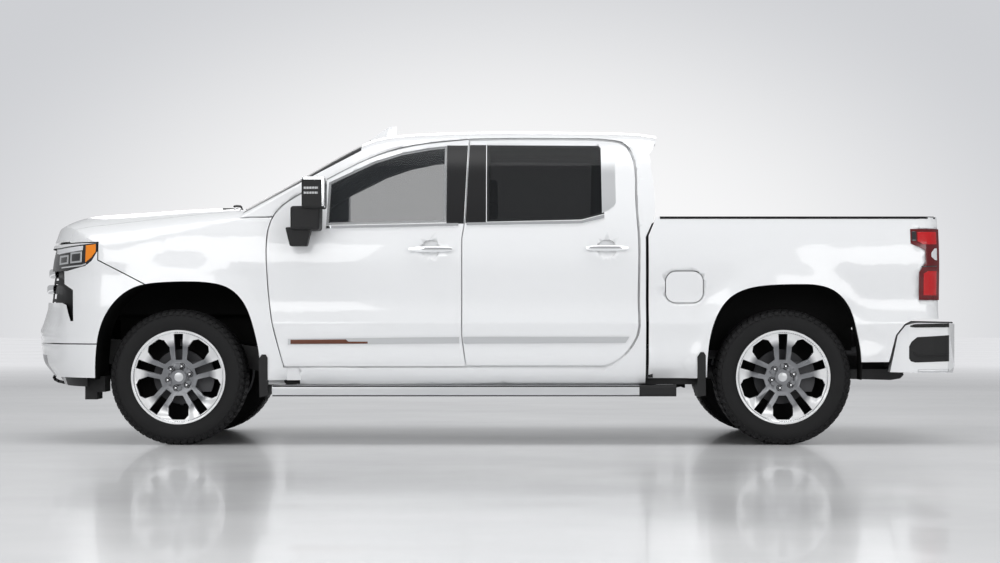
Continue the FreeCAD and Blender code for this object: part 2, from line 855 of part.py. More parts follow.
def make_radiator():
    # Core on the rails, with the beam that carries the lamps
    x_to = nose_x + size("radiator_setback")
    x_from = x_to - size("radiator_depth")
    low = between(x_to, rail_line()) + size("rail_depth") + size("fit_gap")
    half = size("lamp_inner_half") - size("bumper_wall")
    core = box_between(x_from, x_to, -half, half, low, size("grille_upper_bar"))
    beam_half = size("hood_front_half") + size("bumper_wall")
    beam_low = size("grille_upper_bar") - size("grille_bar_depth")
    beam = box_between(x_from - size("lamp_depth"), x_to, -beam_half, beam_half, beam_low, beam_low + size("radiator_beam"))
    beam = beam.common(nose_solid(size("lamp_depth") + size("fit_gap")))
    return fused([core, beam])


front_bumper_blank = bumper_blank()
add_code("hood", make_hood())
add_code("front_fenders", make_fenders())
add_code("front_fascia", make_fascia())
add_code("front_bumper", make_front_bumper())
add_code("headlamps", make_headlamps())
add_code("grille", make_grille())
add_code("grille_mesh", make_grille_mesh())
add_code("radiator", make_radiator())
add_code("front_valance", make_valance())

# Greenhouse: one loft from the windscreen base over the roof to the spoiler
ROOF_SHARES = [
    (-0.02, -0.06), (0.0, 0.0), (0.037, 0.107), (0.161, 0.453), (0.287, 0.805), (0.326, 0.892),
    (0.379, 0.948), (0.4625, 0.979), (0.565, 0.996), (0.735, 1.0), (0.930, 0.988),
    (1.0035, 0.969), (1.045, 0.934), (1.10, 0.88),
]
CAB_SIDE_ROWS = (0.27, 0.345, 0.42, 0.49, 0.549, 0.62, 0.70, 0.78, 0.86)
CAB_REAR_SHARES = [
    (0.0, 0.0), (0.0, 0.645), (0.79, 0.700), (1.0, 0.72), (0.95, 0.796), (0.55, 0.910),
    (1.15, 0.937), (1.52, 0.985), (1.52, 1.2), (6.0, 1.2), (6.0, 0.0),
]
screen_x = front_axle_x + size("screen_base_setback")
firewall_x = front_axle_x + size("firewall_setback")


def cab_wire(x, share, inset, top_inset):
    rise = between(share, ROOF_SHARES)
    top = size("screen_base_height") + rise * (size("roof_height") - size("screen_base_height"))
    drop = size("screen_drop") + (size("roof_drop") - size("screen_drop")) * smooth_step(rise)
    belt = size("belt_height")
    rail = max(top - drop, belt)
    heights = [belt * part for part in CAB_SIDE_ROWS]
    steps = 6
    start = heights[-1]
    heights += [start + (rail - start) * step / steps for step in range(1, steps)]
    left = [Vector(x, inset - half_width(x, z), z - (top_inset if z > belt else 0)) for z in heights]
    rail_half = half_width(x, rail) - inset
    turns = 9
    power = 2 / size("nose_power")
    for step in range(turns):
        angle = math.pi / 2 * step / turns
        across = math.cos(angle) ** power
        up = math.sin(angle) ** power
        left.append(Vector(x, -rail_half * across, rail - top_inset + (top - rail) * up))
    middle = Vector(x, 0, top - top_inset)
    points = left + [middle] + [Vector(p.x, -p.y, p.z) for p in reversed(left)]
    curve = Part.BSplineCurve()
    last = len(points) - 1
    curve.interpolate(points, Parameters=[i / last for i in range(last + 1)])
    return Part.Wire([curve.toShape(), Part.makeLine(points[-1], points[0])])


def cab_solid(inset, top_inset):
    wires = []
    for share, rise in ROOF_SHARES:
        x = screen_x + share * (cab_rear_x - screen_x)
        wires.append(cab_wire(x, share, inset, top_inset))
    return Part.makeLoft(wires, True, False)


def cab_rear_zone(grow):
    span = (cab_rear_x - grow, cab_rear_x - grow + size("cab_lean"), 0, size("roof_height"))
    return side_prism(placed(CAB_REAR_SHARES, *span), -far_y, far_y)


def screen_plan(grow):
    base_x = screen_x + size("shut_gap") * 8 - grow
    side_x = base_x + size("screen_drop") * 0.9
    top_x = door_front_x + size("hinge_half_width") * 0.49 + grow
    base_half = size("hood_front_half") + grow
    top_half = size("rear_window_half") + grow
    return [
        (base_x, 0), (base_x, base_half * 0.5), (side_x, base_half), (top_x - size("roof_wall"), top_half),
        (top_x, top_half * 0.5), (top_x, -top_half * 0.5), (top_x - size("roof_wall"), -top_half),
        (side_x, -base_half), (base_x, -base_half * 0.5),
    ]


LEAF_SHARES = (0.20, 0.475)


def hinge_leaves():
    # Leaves on the pillars that meet the front faces of the doors
    leaves = []
    inset = size("door_inset")
    height = size("hinge_leaf_height")
    plates = (
        (front_door_cut, 0, door_front_x - inset, door_front_x + inset * 2),
        (rear_door_cut, -gap, pillar_x, pillar_x + inset * 2),
    )
    for door_cut, edge, x_from, x_to in plates:
        room = side_prism(door_cut(gap - inset + size("seal_gap")), -far_y, 0)
        room = room.cut(side_prism(door_cut(edge - inset + size("fit_gap")), -far_y, 0))
        for share in LEAF_SHARES:
            low = size("door_bottom") + share * (size("door_top") - size("door_bottom"))
            outer = size("hinge_leaf_half")
            plate = box_between(x_from, x_to, -outer, inset - outer, low, low + height)
            leaves.append(plate.common(room))
    return leaves


def cab_rests():
    # Rests under the hood's rear edge, and pads that the fenders are screwed to
    wall = size("clip_wall") + size("fit_gap")
    depth = size("clip_wall") + gap * 3
    rest = hood_solid(wall).cut(hood_solid(depth))
    rest_x = screen_x - gap
    half = size("rear_window_half")
    rest = rest.common(box_between(rest_x - depth, rest_x, -half - depth, -half, size("cowl_height"), size("hood_height")))
    pad = side_slab(door_front_x - overrun, door_front_x + overrun, 16, wall, depth - wall)
    low = size("door_bottom") + gap * 2
    pad = pad.common(box_between(firewall_x + gap / 2, firewall_x + wall * 2, -far_y, 0, low, size("crease_height") - depth))
    inside = clip_inner.copy()
    inside.translate(Vector(0, size("fit_gap"), 0))
    pad = pad.common(inside)
    return rest.Solids + pad.Solids


def make_cab():
    outer = cab_solid(0, 0).cut(cab_rear_zone(0))
    cavity = cab_solid(size("cab_frame_wall"), size("roof_wall"))
    keep = side_slab(screen_x - overrun, cab_rear_x + overrun, 30, -overrun / 2, overrun / 2 + size("cab_wall"))
    below_belt = box_between(nose_x, tail_x, -far_y, far_y, 0, size("belt_height") + gap)
    keep = keep.common(below_belt)
    below = box_between(screen_x - overrun, tail_x, -far_y, far_y, 0, size("floor_height"))
    behind = cab_rear_zone(size("rear_wall"))
    front_x = firewall_x + size("firewall_thickness")
    plenum_z = size("cowl_height") + size("cowl_thickness")
    front = box_between(screen_x - overrun, front_x, -far_y, far_y, 0, plenum_z)
    cavity = cavity.cut([keep, mirrored(keep), below, behind, front])
    under_half = body_half * SILL_SHARES[2][1] - size("rocker_width")
    under = box_between(screen_x - overrun, tail_x, -under_half, under_half, 0, size("floor_height") - size("floor_thickness"))
    bay = box_between(screen_x - overrun, firewall_x, -far_y, far_y, 0, size("cowl_height"))
    tuck_depth = size("clip_wall") + gap * 2
    tuck = side_slab(screen_x - overrun, door_front_x + overrun / 2, 16, -overrun, overrun + tuck_depth)
    tuck = tuck.common(below_belt)
    shoulder = hood_solid(-gap).cut(hood_solid(tuck_depth))
    shoulder_room = box_between(screen_x - overrun, door_front_x + tuck_depth, -far_y, far_y, size("cowl_height"), size("roof_height"))
    shoulder = shoulder.common(shoulder_room)
    hole_wall = size("cab_wall") + size("seal_gap")
    cuts = [cavity, under, bay, tuck, shoulder]
    shallow_cuts = []
    skin_room = side_slab(door_front_x - overrun, cab_rear_x, 24, -overrun / 2, overrun / 2 + size("skin_thickness") + size("skin_gap"))
    for door_cut in (front_door_cut, rear_door_cut):
        shallow = skin_room.common(side_prism(door_cut(gap), -far_y, 0))
        hole = side_prism(door_cut(size("seal_gap") - size("door_inset")), -far_y, 0)
        low = box_between(nose_x, tail_x, -far_y, hole_wall - body_half, 0, size("belt_height"))
        mid = box_between(nose_x, tail_x, -far_y, -(body_half - hole_wall - size("cab_frame_wall")), size("floor_height") + gap, size("belt_height") + gap * 2)
        high = box_between(nose_x, tail_x, -far_y, -size("roof_half_width") * 0.85, size("belt_height"), size("roof_height"))
        cuts.append(hole.common(low))
        cuts.append(hole.common(mid))
        cuts.append(hole.common(high))
        shallow_cuts.append(shallow)
    cuts.append(plan_prism(screen_plan(0), size("belt_height"), size("roof_height") + overrun))
    half = size("rear_window_half")
    cuts.append(box_between(pillar_x + overrun, tail_x, -half, half, size("rear_window_bottom"), size("rear_window_top")))
    left = outer.common(box_between(nose_x, tail_x, -far_y, 0, 0, size("roof_height") + overrun))
    for cut in cuts + shallow_cuts:
        left = left.cut(cut)
    left = left.fuse(hinge_leaves() + cab_rests())
    cab = left.fuse(mirrored(left)).removeSplitter()
    fin_x = front_axle_x + size("fin_setback") - size("fin_length")
    fin = [(fin_x, size("roof_height") - size("roof_wall")), (fin_x + size("fin_length"), size("roof_height") - size("roof_wall"))]
    top = size("roof_height") + size("fin_height") - size("fin_width") / 4
    fin += [(fin_x + size("fin_length"), top), (fin_x + size("fin_length") * 0.75, top)]
    half = size("fin_width") / 2
    return cab.fuse(side_prism(fin, -half, half)).removeSplitter()


def make_cab_glass():
    outer = cab_solid(size("glass_recess"), size("glass_recess"))
    inner = cab_solid(size("glass_recess") + size("glass_thickness"), size("glass_recess") + size("glass_thickness"))
    zone = plan_prism(screen_plan(-size("fit_gap")), size("belt_height"), size("roof_height"))
    screen = outer.cut(inner).common(zone)
    half = size("rear_window_half") - size("fit_gap")
    inset = size("rear_wall") / 3
    pane = cab_rear_zone(inset).cut(cab_rear_zone(inset - size("glass_thickness")))
    low = size("rear_window_bottom") + size("fit_gap")
    pane = pane.common(box_between(pillar_x, cab_rear_x + size("cab_lean"), -half, half, low, size("rear_window_top") - size("fit_gap")))
    return Part.makeCompound(screen.Solids + pane.Solids)


# Doors: an outer skin to the shut lines and a narrower inner shell behind it
door_span = (door_front_x - gap * 4, rear_door_x + gap * 4, 24)


def glass_outline(front, grow=0.0):
    if front:
        span = (door_front_x, pillar_x, size("door_bottom"), size("door_top"))
        return straight_wire(placed(FRONT_GLASS_SHARES, *span), grow)
    span = (pillar_x, rear_door_x, size("door_bottom"), size("door_top"))
    return straight_wire(placed(REAR_GLASS_SHARES, *span), grow)


door_skin = side_slab(*door_span, 0, size("skin_thickness"))
above_belt = box_between(nose_x, tail_x, -far_y, 0, size("belt_height"), size("roof_height"))
door_depth = size("door_depth") - size("skin_thickness")
door_inner = side_slab(*door_span, size("skin_thickness"), door_depth)
frame_back = side_slab(*door_span, size("door_frame_depth"), overrun).common(above_belt)
door_inner = door_inner.cut(frame_back)
pane_slab = side_slab(*door_span, size("glass_recess"), size("glass_thickness"))
pocket_slab = side_slab(*door_span, -overrun / 4, overrun / 4 + size("glass_recess") + size("glass_thickness") + size("fit_gap"))


HANDLE_SHARES = {"front": (0.729, 0.955, 0.491, 0.529), "rear": (0.701, 0.937, 0.493, 0.531)}


def make_door(front):
    door_cut = front_door_cut if front else rear_door_cut
    edge = 0 if front else -gap
    skin = door_skin.common(side_prism(door_cut(edge), -far_y, 0))
    inner = door_inner.common(side_prism(door_cut(edge - size("door_inset")), -far_y, 0))
    door = skin.fuse(inner).cut(handle_cup(front))
    pocket = pocket_slab.common(side_prism(glass_outline(front, size("fit_gap")), -far_y, 0))
    through = side_prism(glass_outline(front, -size("glass_ledge")), -far_y, 0)
    return door.cut(pocket).cut(through)


def handle_cup(front):
    # Dish behind the handle, for fingers
    name = "front" if front else "rear"
    x_from = door_front_x if front else pillar_x
    x_to = pillar_x if front else rear_door_x
    low = size("door_bottom")
    a, b, bottom, top = HANDLE_SHARES[name]
    x = x_from + (a + b) / 2 * (x_to - x_from)
    z = low + (bottom + top) / 2 * (size("door_top") - low)
    radius = size("handle_cup_radius")
    bore = rod(Vector(x, -far_y, z), Vector(x, 0, z), radius)
    depth = size("handle_cup_depth")
    return side_slab(x - radius * 2, x + radius * 2, 6, -overrun, overrun + depth).common(bore)


def make_door_glass(front):
    return pane_slab.common(side_prism(glass_outline(front), -far_y, 0))


def make_handle(x_from, x_to, z_from, z_to):
    reach = size("handle_reach")
    thick = size("handle_thickness")
    bar = side_slab(x_from - gap, x_to + gap, 4, -reach, thick)
    bar = bar.common(box_between(x_from, x_to, -far_y, 0, z_from, z_to))
    radius = size("handle_post_radius")
    middle = (z_from + z_to) / 2
    posts = []
    for x in (x_from + radius * 2, x_to - radius * 2):
        post = rod(Vector(x, -body_half - reach, middle), Vector(x, reach * 3 - body_half, middle), radius)
        outside = side_slab(x - radius * 2, x + radius * 2, 2, -reach + thick / 2, reach - thick / 2 - size("fit_gap"))
        posts.append(post.common(outside))
    return fused([bar] + posts)


MOULD_SHARES = {
    "front": [(0.109, 0.095), (0.990, 0.101), (0.990, 0.128), (0.109, 0.120)],
    "rear": [(0.014, 0.100), (0.923, 0.103), (0.945, 0.129), (0.014, 0.129)],
}
BELT_SHARES = {
    "front": [(0.303, 0.601), (0.985, 0.614), (0.985, 0.625), (0.303, 0.613)],
    "rear": [(0.030, 0.616), (0.676, 0.624), (0.806, 0.648), (0.806, 0.663), (0.676, 0.637), (0.030, 0.627)],
}


def make_trim(front):
    name = "front" if front else "rear"
    x_from = door_front_x if front else pillar_x
    x_to = pillar_x if front else rear_door_x
    span = (x_from, x_to, size("door_bottom"), size("door_top"))
    a, b, low, high = HANDLE_SHARES[name]
    corners = placed([(a, low), (b, high)], *span)
    handle = make_handle(corners[0][0], corners[1][0], corners[0][1], corners[1][1])
    thick = size("trim_thickness")
    outside = side_slab(*door_span, -thick - size("fit_gap"), thick)
    mould = outside.common(side_prism(placed(MOULD_SHARES[name], *span), -far_y, 0))
    belt = outside.common(side_prism(placed(BELT_SHARES[name], *span), -far_y, 0))
    return Part.makeCompound(handle.Solids + mould.Solids + belt.Solids)


def mirror_block(setback, length, low, height, half, width, rounding):
    x = front_axle_x + size(setback)
    block = box_between(x, x + size(length), -half - width, -half, low, low + height)
    return block.makeFillet(rounding, block.Edges)


def make_mirror():
    # Towing mirror: a tall head on a deep arm, with a lamp pod below
    half = size("mirror_half")
    width = size("mirror_width")
    low = size("mirror_bottom")
    rounding = size("mirror_rounding")
    drop = size("mirror_arm_height")
    head = mirror_block("mirror_setback", "mirror_length", low, size("mirror_height"), half, width, rounding)
    arm_half = half - width
    middle = mirror_block("mirror_arm_setback", "mirror_arm_length", low - drop, drop + rounding, arm_half, width * 1.8, rounding)
    x = front_axle_x + size("mirror_arm_setback")
    skin = side_slab(x - gap, x + size("mirror_arm_length") + gap, 8, -overrun, overrun - size("fit_gap"))
    middle = middle.common(skin)
    pod_x = front_axle_x + size("mirror_pod_setback")
    length = size("mirror_pod_length")
    pod_top = low - drop + rounding
    pod_low = pod_top - size("mirror_pod_height")
    taper = rounding * 1.6
    outline = [(pod_x, pod_top), (pod_x + length, pod_top), (pod_x + length - taper, pod_low), (pod_x + taper, pod_low)]
    pod = side_prism(outline, -half - width * 0.6, -half + width * 0.1)
    pod = pod.makeFillet(rounding / 2, pod.Edges)
    return fused([head, middle, pod])


def add_pair(name, shape):
    add_code(name + "_left", shape)
    twin = doc.addObject("Part::Mirroring", name + "_right")
    twin.Source = doc.getObject(name + "_left")
    twin.Normal = Vector(0, 1, 0)
    twin.Label = name + "_right"
    nodes.append(twin)


add_code("cab_shell", make_cab())
add_code("cab_glass", make_cab_glass())
add_pair("door_front", make_door(True))
add_pair("door_rear", make_door(False))
add_pair("door_glass_front", make_door_glass(True))
add_pair("door_glass_rear", make_door_glass(False))
add_pair("door_trim_front", make_trim(True))
add_pair("door_trim_rear", make_trim(False))
add_pair("mirror", make_mirror())

# Load bed
bed_span = (bed_front_x, bed_rear_x, size("bed_bottom_height"), size("bed_rail_height"))
lamp_span = (
    bed_rear_x - size("tail_lamp_length"), bed_rear_x + size("tail_lamp_proud"),
    size("tail_lamp_bottom"), size("tail_lamp_top"),
)
fuel_x = rear_axle_x - size("fuel_door_setback")


def fuel_outline(grow):
    # Rounded square of the fuel door
    length = size("fuel_door_length") + 2 * grow
    height = size("fuel_door_height") + 2 * grow
    radius = size("fuel_door_radius") + grow
    corner = Vector(fuel_x - grow, -far_y, size("fuel_door_bottom") - grow)
    block = Part.makeBox(length, far_y, height, corner)
    upright = [e for e in block.Edges if e.BoundBox.YLength > overrun]
    return block.makeFillet(radius, upright)


def gate_pin_reach():
    column = size("bedside_wall") + size("tail_column")
    return half_width(bed_rear_x, size("tailgate_hinge_height")) - column + size("tailgate_pin_radius") * 2


def make_bedsides():
    start = bed_front_x - gap * 4
    stop = bed_rear_x + gap * 4
    wall = size("bedside_wall")
    zone = side_prism(placed(BEDSIDE_SHARES, *bed_span), -far_y, 0)
    side = side_slab(start, stop, 30, 0, wall).common(zone)
    column = side_slab(start, stop, 30, wall - size("fit_gap"), size("tail_column"))
    column_x = bed_rear_x - size("tail_lamp_length")
    low = size("tailgate_bottom") - size("tailgate_gap")
    pin_x = bed_rear_x - size("tailgate_hinge_inset")
    pin_z = size("tailgate_hinge_height")
    pin_end = gate_pin_reach() + size("fit_gap")
    socket = rod(Vector(pin_x, -pin_end, pin_z), Vector(pin_x, 0, pin_z), size("tailgate_pin_radius") + size("fit_gap"))
    column = column.common(box_between(column_x, bed_rear_x, -far_y, 0, low, size("bed_rail_height")))
    cup = side_slab(start, stop, 30, wall - size("fit_gap"), size("fuel_pocket_depth"))
    cup = cup.common(fuel_outline(size("fuel_door_gap") + size("skin_thickness")))
    hollow = side_slab(start, stop, 30, 0, wall + size("fuel_pocket_depth") - size("skin_thickness"))
    hollow = hollow.common(fuel_outline(size("fuel_door_gap")))
    # A stop in the pocket meets the back of the closed door
    behind = size("skin_thickness") + size("fit_gap")
    post_z = size("fuel_door_bottom") + size("fuel_door_radius")
    post = side_slab(start, stop, 30, behind, wall + size("fuel_pocket_depth") - behind - gap / 2)
    post = post.common(box_between(fuel_x, fuel_x + gap * 3, -far_y, 0, post_z, post_z + size("fuel_door_radius")))
    filler_side = side.fuse([column, cup]).cut([hollow, socket]).fuse(post)
    plain_side = side.fuse(column).cut(socket)
    arch = side_prism(rear_arch(), -far_y, 0)
    lamp = side_prism(straight_wire(placed(TAIL_LAMP_SHARES, *lamp_span), size("lamp_gap")), -far_y, 0)
    depth = size("tail_lamp_depth") + size("fit_gap")
    pocket = side_slab(start, stop, 30, -overrun / 4, overrun / 4 + depth).common(lamp)
    return Part.makeCompound([filler_side.cut([arch, pocket]), mirrored(plain_side.cut([arch, pocket]))])


def make_tail_lamps():
    proud = size("tail_lamp_proud")
    slab = side_slab(bed_front_x - gap * 4, bed_rear_x + gap * 4, 30, -proud / 4, size("tail_lamp_depth") + proud / 4)
    lamp = slab.common(side_prism(straight_wire(placed(TAIL_LAMP_SHARES, *lamp_span)), -far_y, 0))
    return both_sides(lamp)


def make_fuel_door():
    slab = side_slab(fuel_x - gap, fuel_x + size("fuel_door_length") + gap, 6, 0, size("skin_thickness"))
    return slab.common(fuel_outline(0))


def make_bed_tub():
    half = size("bed_inner_half")
    wall = size("bed_wall")
    floor = size("bed_floor_height")
    thick = size("bed_floor_thickness")
    top = size("bed_rail_height") - size("bed_cap_height")
    front_x = bed_front_x + size("bed_header_setback")
    rear_x = bed_rear_x - size("tailgate_thickness") - size("tailgate_gap") * 2
    bed = [box_between(front_x, rear_x, -half - wall, half + wall, floor - thick, floor)]
    bed.append(box_between(front_x, front_x + wall * 2, -half - wall, half + wall, floor - thick * 4, top))
    rim = body_half * SILL_SHARES[0][1]
    for side in (-1, 1):
        inner = side * half
        outer = side * (half + wall)
        bed.append(box_between(front_x, rear_x, min(inner, outer), max(inner, outer), floor - thick, top))
        outer = side * rim
        bed.append(box_between(front_x, rear_x, min(inner, outer), max(inner, outer), top, size("bed_rail_height")))
    reach = size("wheelhouse_length") / 2
    house = size("wheelhouse_half")
    for side in (-1, 1):
        inner = side * house
        outer = side * (half + wall / 2)
        block = box_between(rear_axle_x - reach, rear_axle_x + reach, min(inner, outer), max(inner, outer), floor - thick / 2, size("wheelhouse_height"))
        bed.append(block)
    # Cross sills that rest on the rails
    rail_top = max(z for x, z in rail_line()) + size("rail_depth") + size("fit_gap")
    for x in (rear_axle_x - reach * 0.7, rear_axle_x + reach * 0.66):
        bed.append(box_between(x - wall * 2, x + wall * 2, -house, house, rail_top, floor - thick / 2))
    tub = fused(bed)
    column_x = bed_rear_x - size("tail_lamp_length") - size("fit_gap")
    column_depth = size("bedside_wall") + size("tail_column") + size("fit_gap")
    column = side_slab(bed_front_x - gap * 4, bed_rear_x + gap * 4, 30, -overrun, overrun + column_depth)
    column = column.common(box_between(column_x, tail_x, -far_y, 0, 0, size("roof_height")))
    tub = tub.cut([column, mirrored(column)])
    for side in (-1, 1):
        inner = side * (house + wall)
        outer = side * (half + wall * 2)
        room = box_between(rear_axle_x - reach + wall, rear_axle_x + reach - wall, min(inner, outer), max(inner, outer), floor - thick * 2, size("wheelhouse_height") - wall)
        tub = tub.cut(room)
    # Pressed ribs along the floor
    count = 7
    pitch = 2 * house / count
    rib = pitch / 2
    for index in range(count):
        y = -house + pitch * (index + 1 / 4)
        groove = box_between(front_x + wall * 4, rear_x - wall * 2, y, y + rib, floor - thick / 3, floor + thick)
        tub = tub.cut(groove)
    return tub


def make_tailgate():
    thick = size("tailgate_thickness")
    low = size("tailgate_bottom") + size("tailgate_gap")
    top = size("bed_rail_height") - gap / 2
    back = bed_rear_x
    front = back - thick
    lip = thick / 3
    outline = [
        (front, low), (back - lip / 2, low), (back, low + lip), (back, top - lip * 3),
        (back - lip / 2, top - lip * 2), (back + lip / 2, top - lip), (back + lip / 2, top - lip / 3),
        (back - lip / 2, top), (front, top),
    ]
    column = size("bedside_wall") + size("tail_column")
    half = half_width(back, size("bed_rail_height")) - column - size("tailgate_gap")
    gate = side_prism(outline, -half, half)
    panel_low = low + thick * 2
    panel = box_between(back - gap, back + thick, -half * 0.86, half * 0.86, panel_low, top - thick * 2)
    handle = size("fuel_door_height")
    cup = box_between(back - lip, back + thick, -handle, handle, top - thick * 1.6, top - thick * 0.7)
    radius = size("tailgate_pin_radius")
    reach = gate_pin_reach()
    pin_x = bed_rear_x - size("tailgate_hinge_inset")
    pin_z = size("tailgate_hinge_height")
    pin = rod(Vector(pin_x, -reach, pin_z), Vector(pin_x, reach, pin_z), radius)
    return fused([gate.cut([panel, cup]), pin])


add_code("bed_tub", make_bed_tub())
add_code("bedsides", make_bedsides())
add_code("tail_lamps", make_tail_lamps())
add_code("tailgate", make_tailgate())
add_code("fuel_door", make_fuel_door())


# Rear bumper: plan outline crossed with the side outline, hollow from the front
REAR_PLAN_SHARES = [
    (0.0, 0.982), (0.25, 1.0), (0.60, 1.0), (0.80, 0.985), (0.93, 0.90), (0.965, 0.60), (0.995, 0.36),
    (1.0, 0.0),
]
bumper_x = rear_axle_x + size("rear_bumper_setback")


def rear_bumper_plan(inset):
    span = tail_x - bumper_x - inset
    half = size("rear_bumper_half") - inset
    left = [(bumper_x + a * span, -b * half) for a, b in REAR_PLAN_SHARES]
    start = [(bumper_x - overrun if inset else bumper_x, -REAR_PLAN_SHARES[0][1] * half)]
    left = start + left if inset else left
    return left + [(x, -y) for x, y in reversed(left[:-1])]


def make_rear_bumper():
    low = size("rear_bumper_bottom")
    top = size("rear_bumper_top")
    plan = plan_prism(rear_bumper_plan(0), low - gap, top + gap)
    core = plan_prism(rear_bumper_plan(size("rear_bumper_wall")), low - overrun, top - size("bumper_wall"))
    tub_half = size("bed_inner_half")
    side = side_prism(placed(REAR_BUMPER_SHARES, bumper_x, tail_x, low, top), -far_y, far_y)
    room = box_between(bumper_x - overrun, bed_rear_x + size("tail_lamp_proud") * 2, -tub_half, tub_half, low - overrun, top + overrun)
    level = rail_line()[-1][1]
    wall = size("rail_wall")
    reach = tail_x - size("rear_bumper_wall") * 0.8
    brackets = rail_bracket(rail_rear_x + size("fit_gap"), reach, level + wall, level + size("rail_depth") - wall)
    return fused([plan.common(side).cut([core, room])] + brackets)


add_code("rear_bumper", make_rear_bumper())


# Frame: two rails kicked up over the axles, with cross tubes
CROSS_SHARES = [(0.0045, 0.5), (0.175, 0.238), (0.53, 0.833), (0.705, 0.70), (0.924, 0.947), (0.9955, 0.5)]


def make_frame():
    depth = size("rail_depth")
    outer = size("rail_outer_half")
    wall = size("rail_wall")
    low = rail_line()
    outline = low + [(x, z + depth) for x, z in reversed(low)]
    rail = side_prism(outline, -outer, size("rail_width") - outer)
    inner = [(x, z + wall) for x, z in low] + [(x, z + depth - wall) for x, z in reversed(low)]
    rail = rail.cut(side_prism(inner, wall - outer, size("rail_width")))
    pieces = [rail, mirrored(rail)]
    radius = size("cross_tube_radius")
    for along, up in CROSS_SHARES:
        x = rail_front_x + along * (rail_rear_x - rail_front_x)
        level = between(x, low) + up * depth
        start = Vector(x, wall / 2 - outer, level)
        pieces.append(rod(start, Vector(x, outer - wall / 2, level), radius))
    # Winch that carries the spare wheel
    spare_x = rear_axle_x + size("spare_setback")
    spare_top = rail_base - gap + size("spare_width") + size("fit_gap")
    pieces.append(rod(Vector(spare_x, 0, spare_top), Vector(spare_x, 0, spare_top + radius * 2), radius))
    # Brackets of the lower arms, and the towers that hold the struts
    arm_x = size("arm_spread")
    thick = size("arm_thickness")
    low_z = axle_z - size("lower_joint_drop")
    for x in (front_axle_x - arm_x, front_axle_x + arm_x):
        pieces += rail_bracket(x - thick, x + thick, low_z, between(x, low) + wall)
    tower_z = size("shock_height") + size("fit_gap")
    cover = size("tower_thickness")
    shock = size("shock_radius")
    top = between(front_axle_x, low) + depth - wall
    pieces += rail_bracket(front_axle_x - shock, front_axle_x + shock, top, tower_z + cover)
    spring = size("spring_half")
    wide = size("spring_width") / 2
    leaf_z = axle_z + size("axle_tube_radius") + size("spring_thickness") * 5 + size("fit_gap")
    for x in (rear_axle_x - size("spring_reach"), rear_axle_x + size("spring_reach")):
        hanger = box_between(x - thick, x + thick, -spring - wide, wall / 2 - outer, leaf_z, leaf_z + cover)
        inner_y = -spring + wide + size("fit_gap")
        web = box_between(x - thick, x + thick, inner_y, wall / 2 - outer, leaf_z - thick * 2, leaf_z + cover)
        hanger = hanger.fuse(web.cut(box_between(x - thick, x + thick, -spring - wide, -spring + wide, 0, leaf_z)))
        pieces += [hanger, mirrored(hanger)]
    plate = box_between(front_axle_x - shock, front_axle_x + shock, -strut_half() - shock, -outer + wall, tower_z, tower_z + cover)
    pieces += [plate, mirrored(plate)]
    return fused(pieces)


def strut_half():
    return size("rail_outer_half") + size("shock_radius") * 1.75


add_code("frame_rails", make_frame())


# Front suspension arms and struts, both sides
def arm(pivot_half, pivot_z, joint_half, joint_z, spread, boss):
    thick = size("arm_thickness")
    joint = Vector(front_axle_x, -joint_half, joint_z)
    legs = []
    for side in (-1, 1):
        pivot = Vector(front_axle_x + side * spread, -pivot_half, pivot_z)
        legs.append(rod(pivot, joint, thick / 2))
        reach = Vector(thick, 0, 0)
        legs.append(rod(pivot - reach, pivot + reach, thick * 0.8))
    half = Vector(0, 0, thick / 2)
    legs.append(rod(joint - half, joint + half + Vector(0, 0, boss), thick * 0.8))
    return fused(legs)


def make_front_suspension():
    low_z = axle_z - size("lower_joint_drop")
    high_z = axle_z + size("upper_joint_rise")
    joint = size("kingpin_half")
    thick = size("arm_thickness")
    boss = size("joint_boss")
    pivot = size("rail_outer_half") + thick * 0.8 + size("fit_gap")
    joint_z = low_z - thick / 2 - boss - size("fit_gap")
    lower = arm(pivot, low_z + thick, joint, joint_z, size("arm_spread"), boss)
    joint_z = high_z + thick / 2 + size("fit_gap")
    upper = arm(pivot, joint_z, joint, joint_z, size("arm_spread") / 2, boss / 2)
    mid = strut_half()
    strut = rod(Vector(front_axle_x, -mid, low_z + thick / 2), Vector(front_axle_x, -mid, size("shock_height")), size("shock_radius"))
    return both_sides(fused([lower, strut])), both_sides(upper)


lower_arms, upper_arms = make_front_suspension()
add_code("front_suspension", Part.makeCompound(lower_arms.Solids + upper_arms.Solids))


def make_knuckle():
    # Upright with the spindle, steering arm and brake caliper
    y = -size("kingpin_half")
    wheel_y = -wheel_half
    thick = size("knuckle_width") / 2
    low_z = axle_z - size("lower_joint_drop")
    high_z = axle_z + size("upper_joint_rise")
    post = size("knuckle_width")
    upright = box_between(front_axle_x - post / 2, front_axle_x + post / 2, y - thick / 2, y + thick, low_z, high_z)
    inner = wheel_y + size("disc_setback")
    carrier = rod(Vector(front_axle_x, inner, axle_z), Vector(front_axle_x, y + thick, axle_z), size("hub_pad_radius") * 0.8)
    spindle_end = wheel_y - size("spindle_reach")
    spindle = rod(Vector(front_axle_x, spindle_end, axle_z), Vector(front_axle_x, y, axle_z), size("spindle_radius"))
    arm_end = Vector(front_axle_x + size("steering_arm"), y + thick * 1.5, axle_z - post)
    arm_piece = rod(Vector(front_axle_x, y + thick / 2, axle_z - post), arm_end, thick * 0.45)
    bracket = box_between(front_axle_x, front_axle_x + size("disc_radius"), inner, y + thick / 2, axle_z - thick, axle_z + thick)
    return fused([upright, carrier, spindle, arm_piece, bracket, caliper(front_axle_x)])


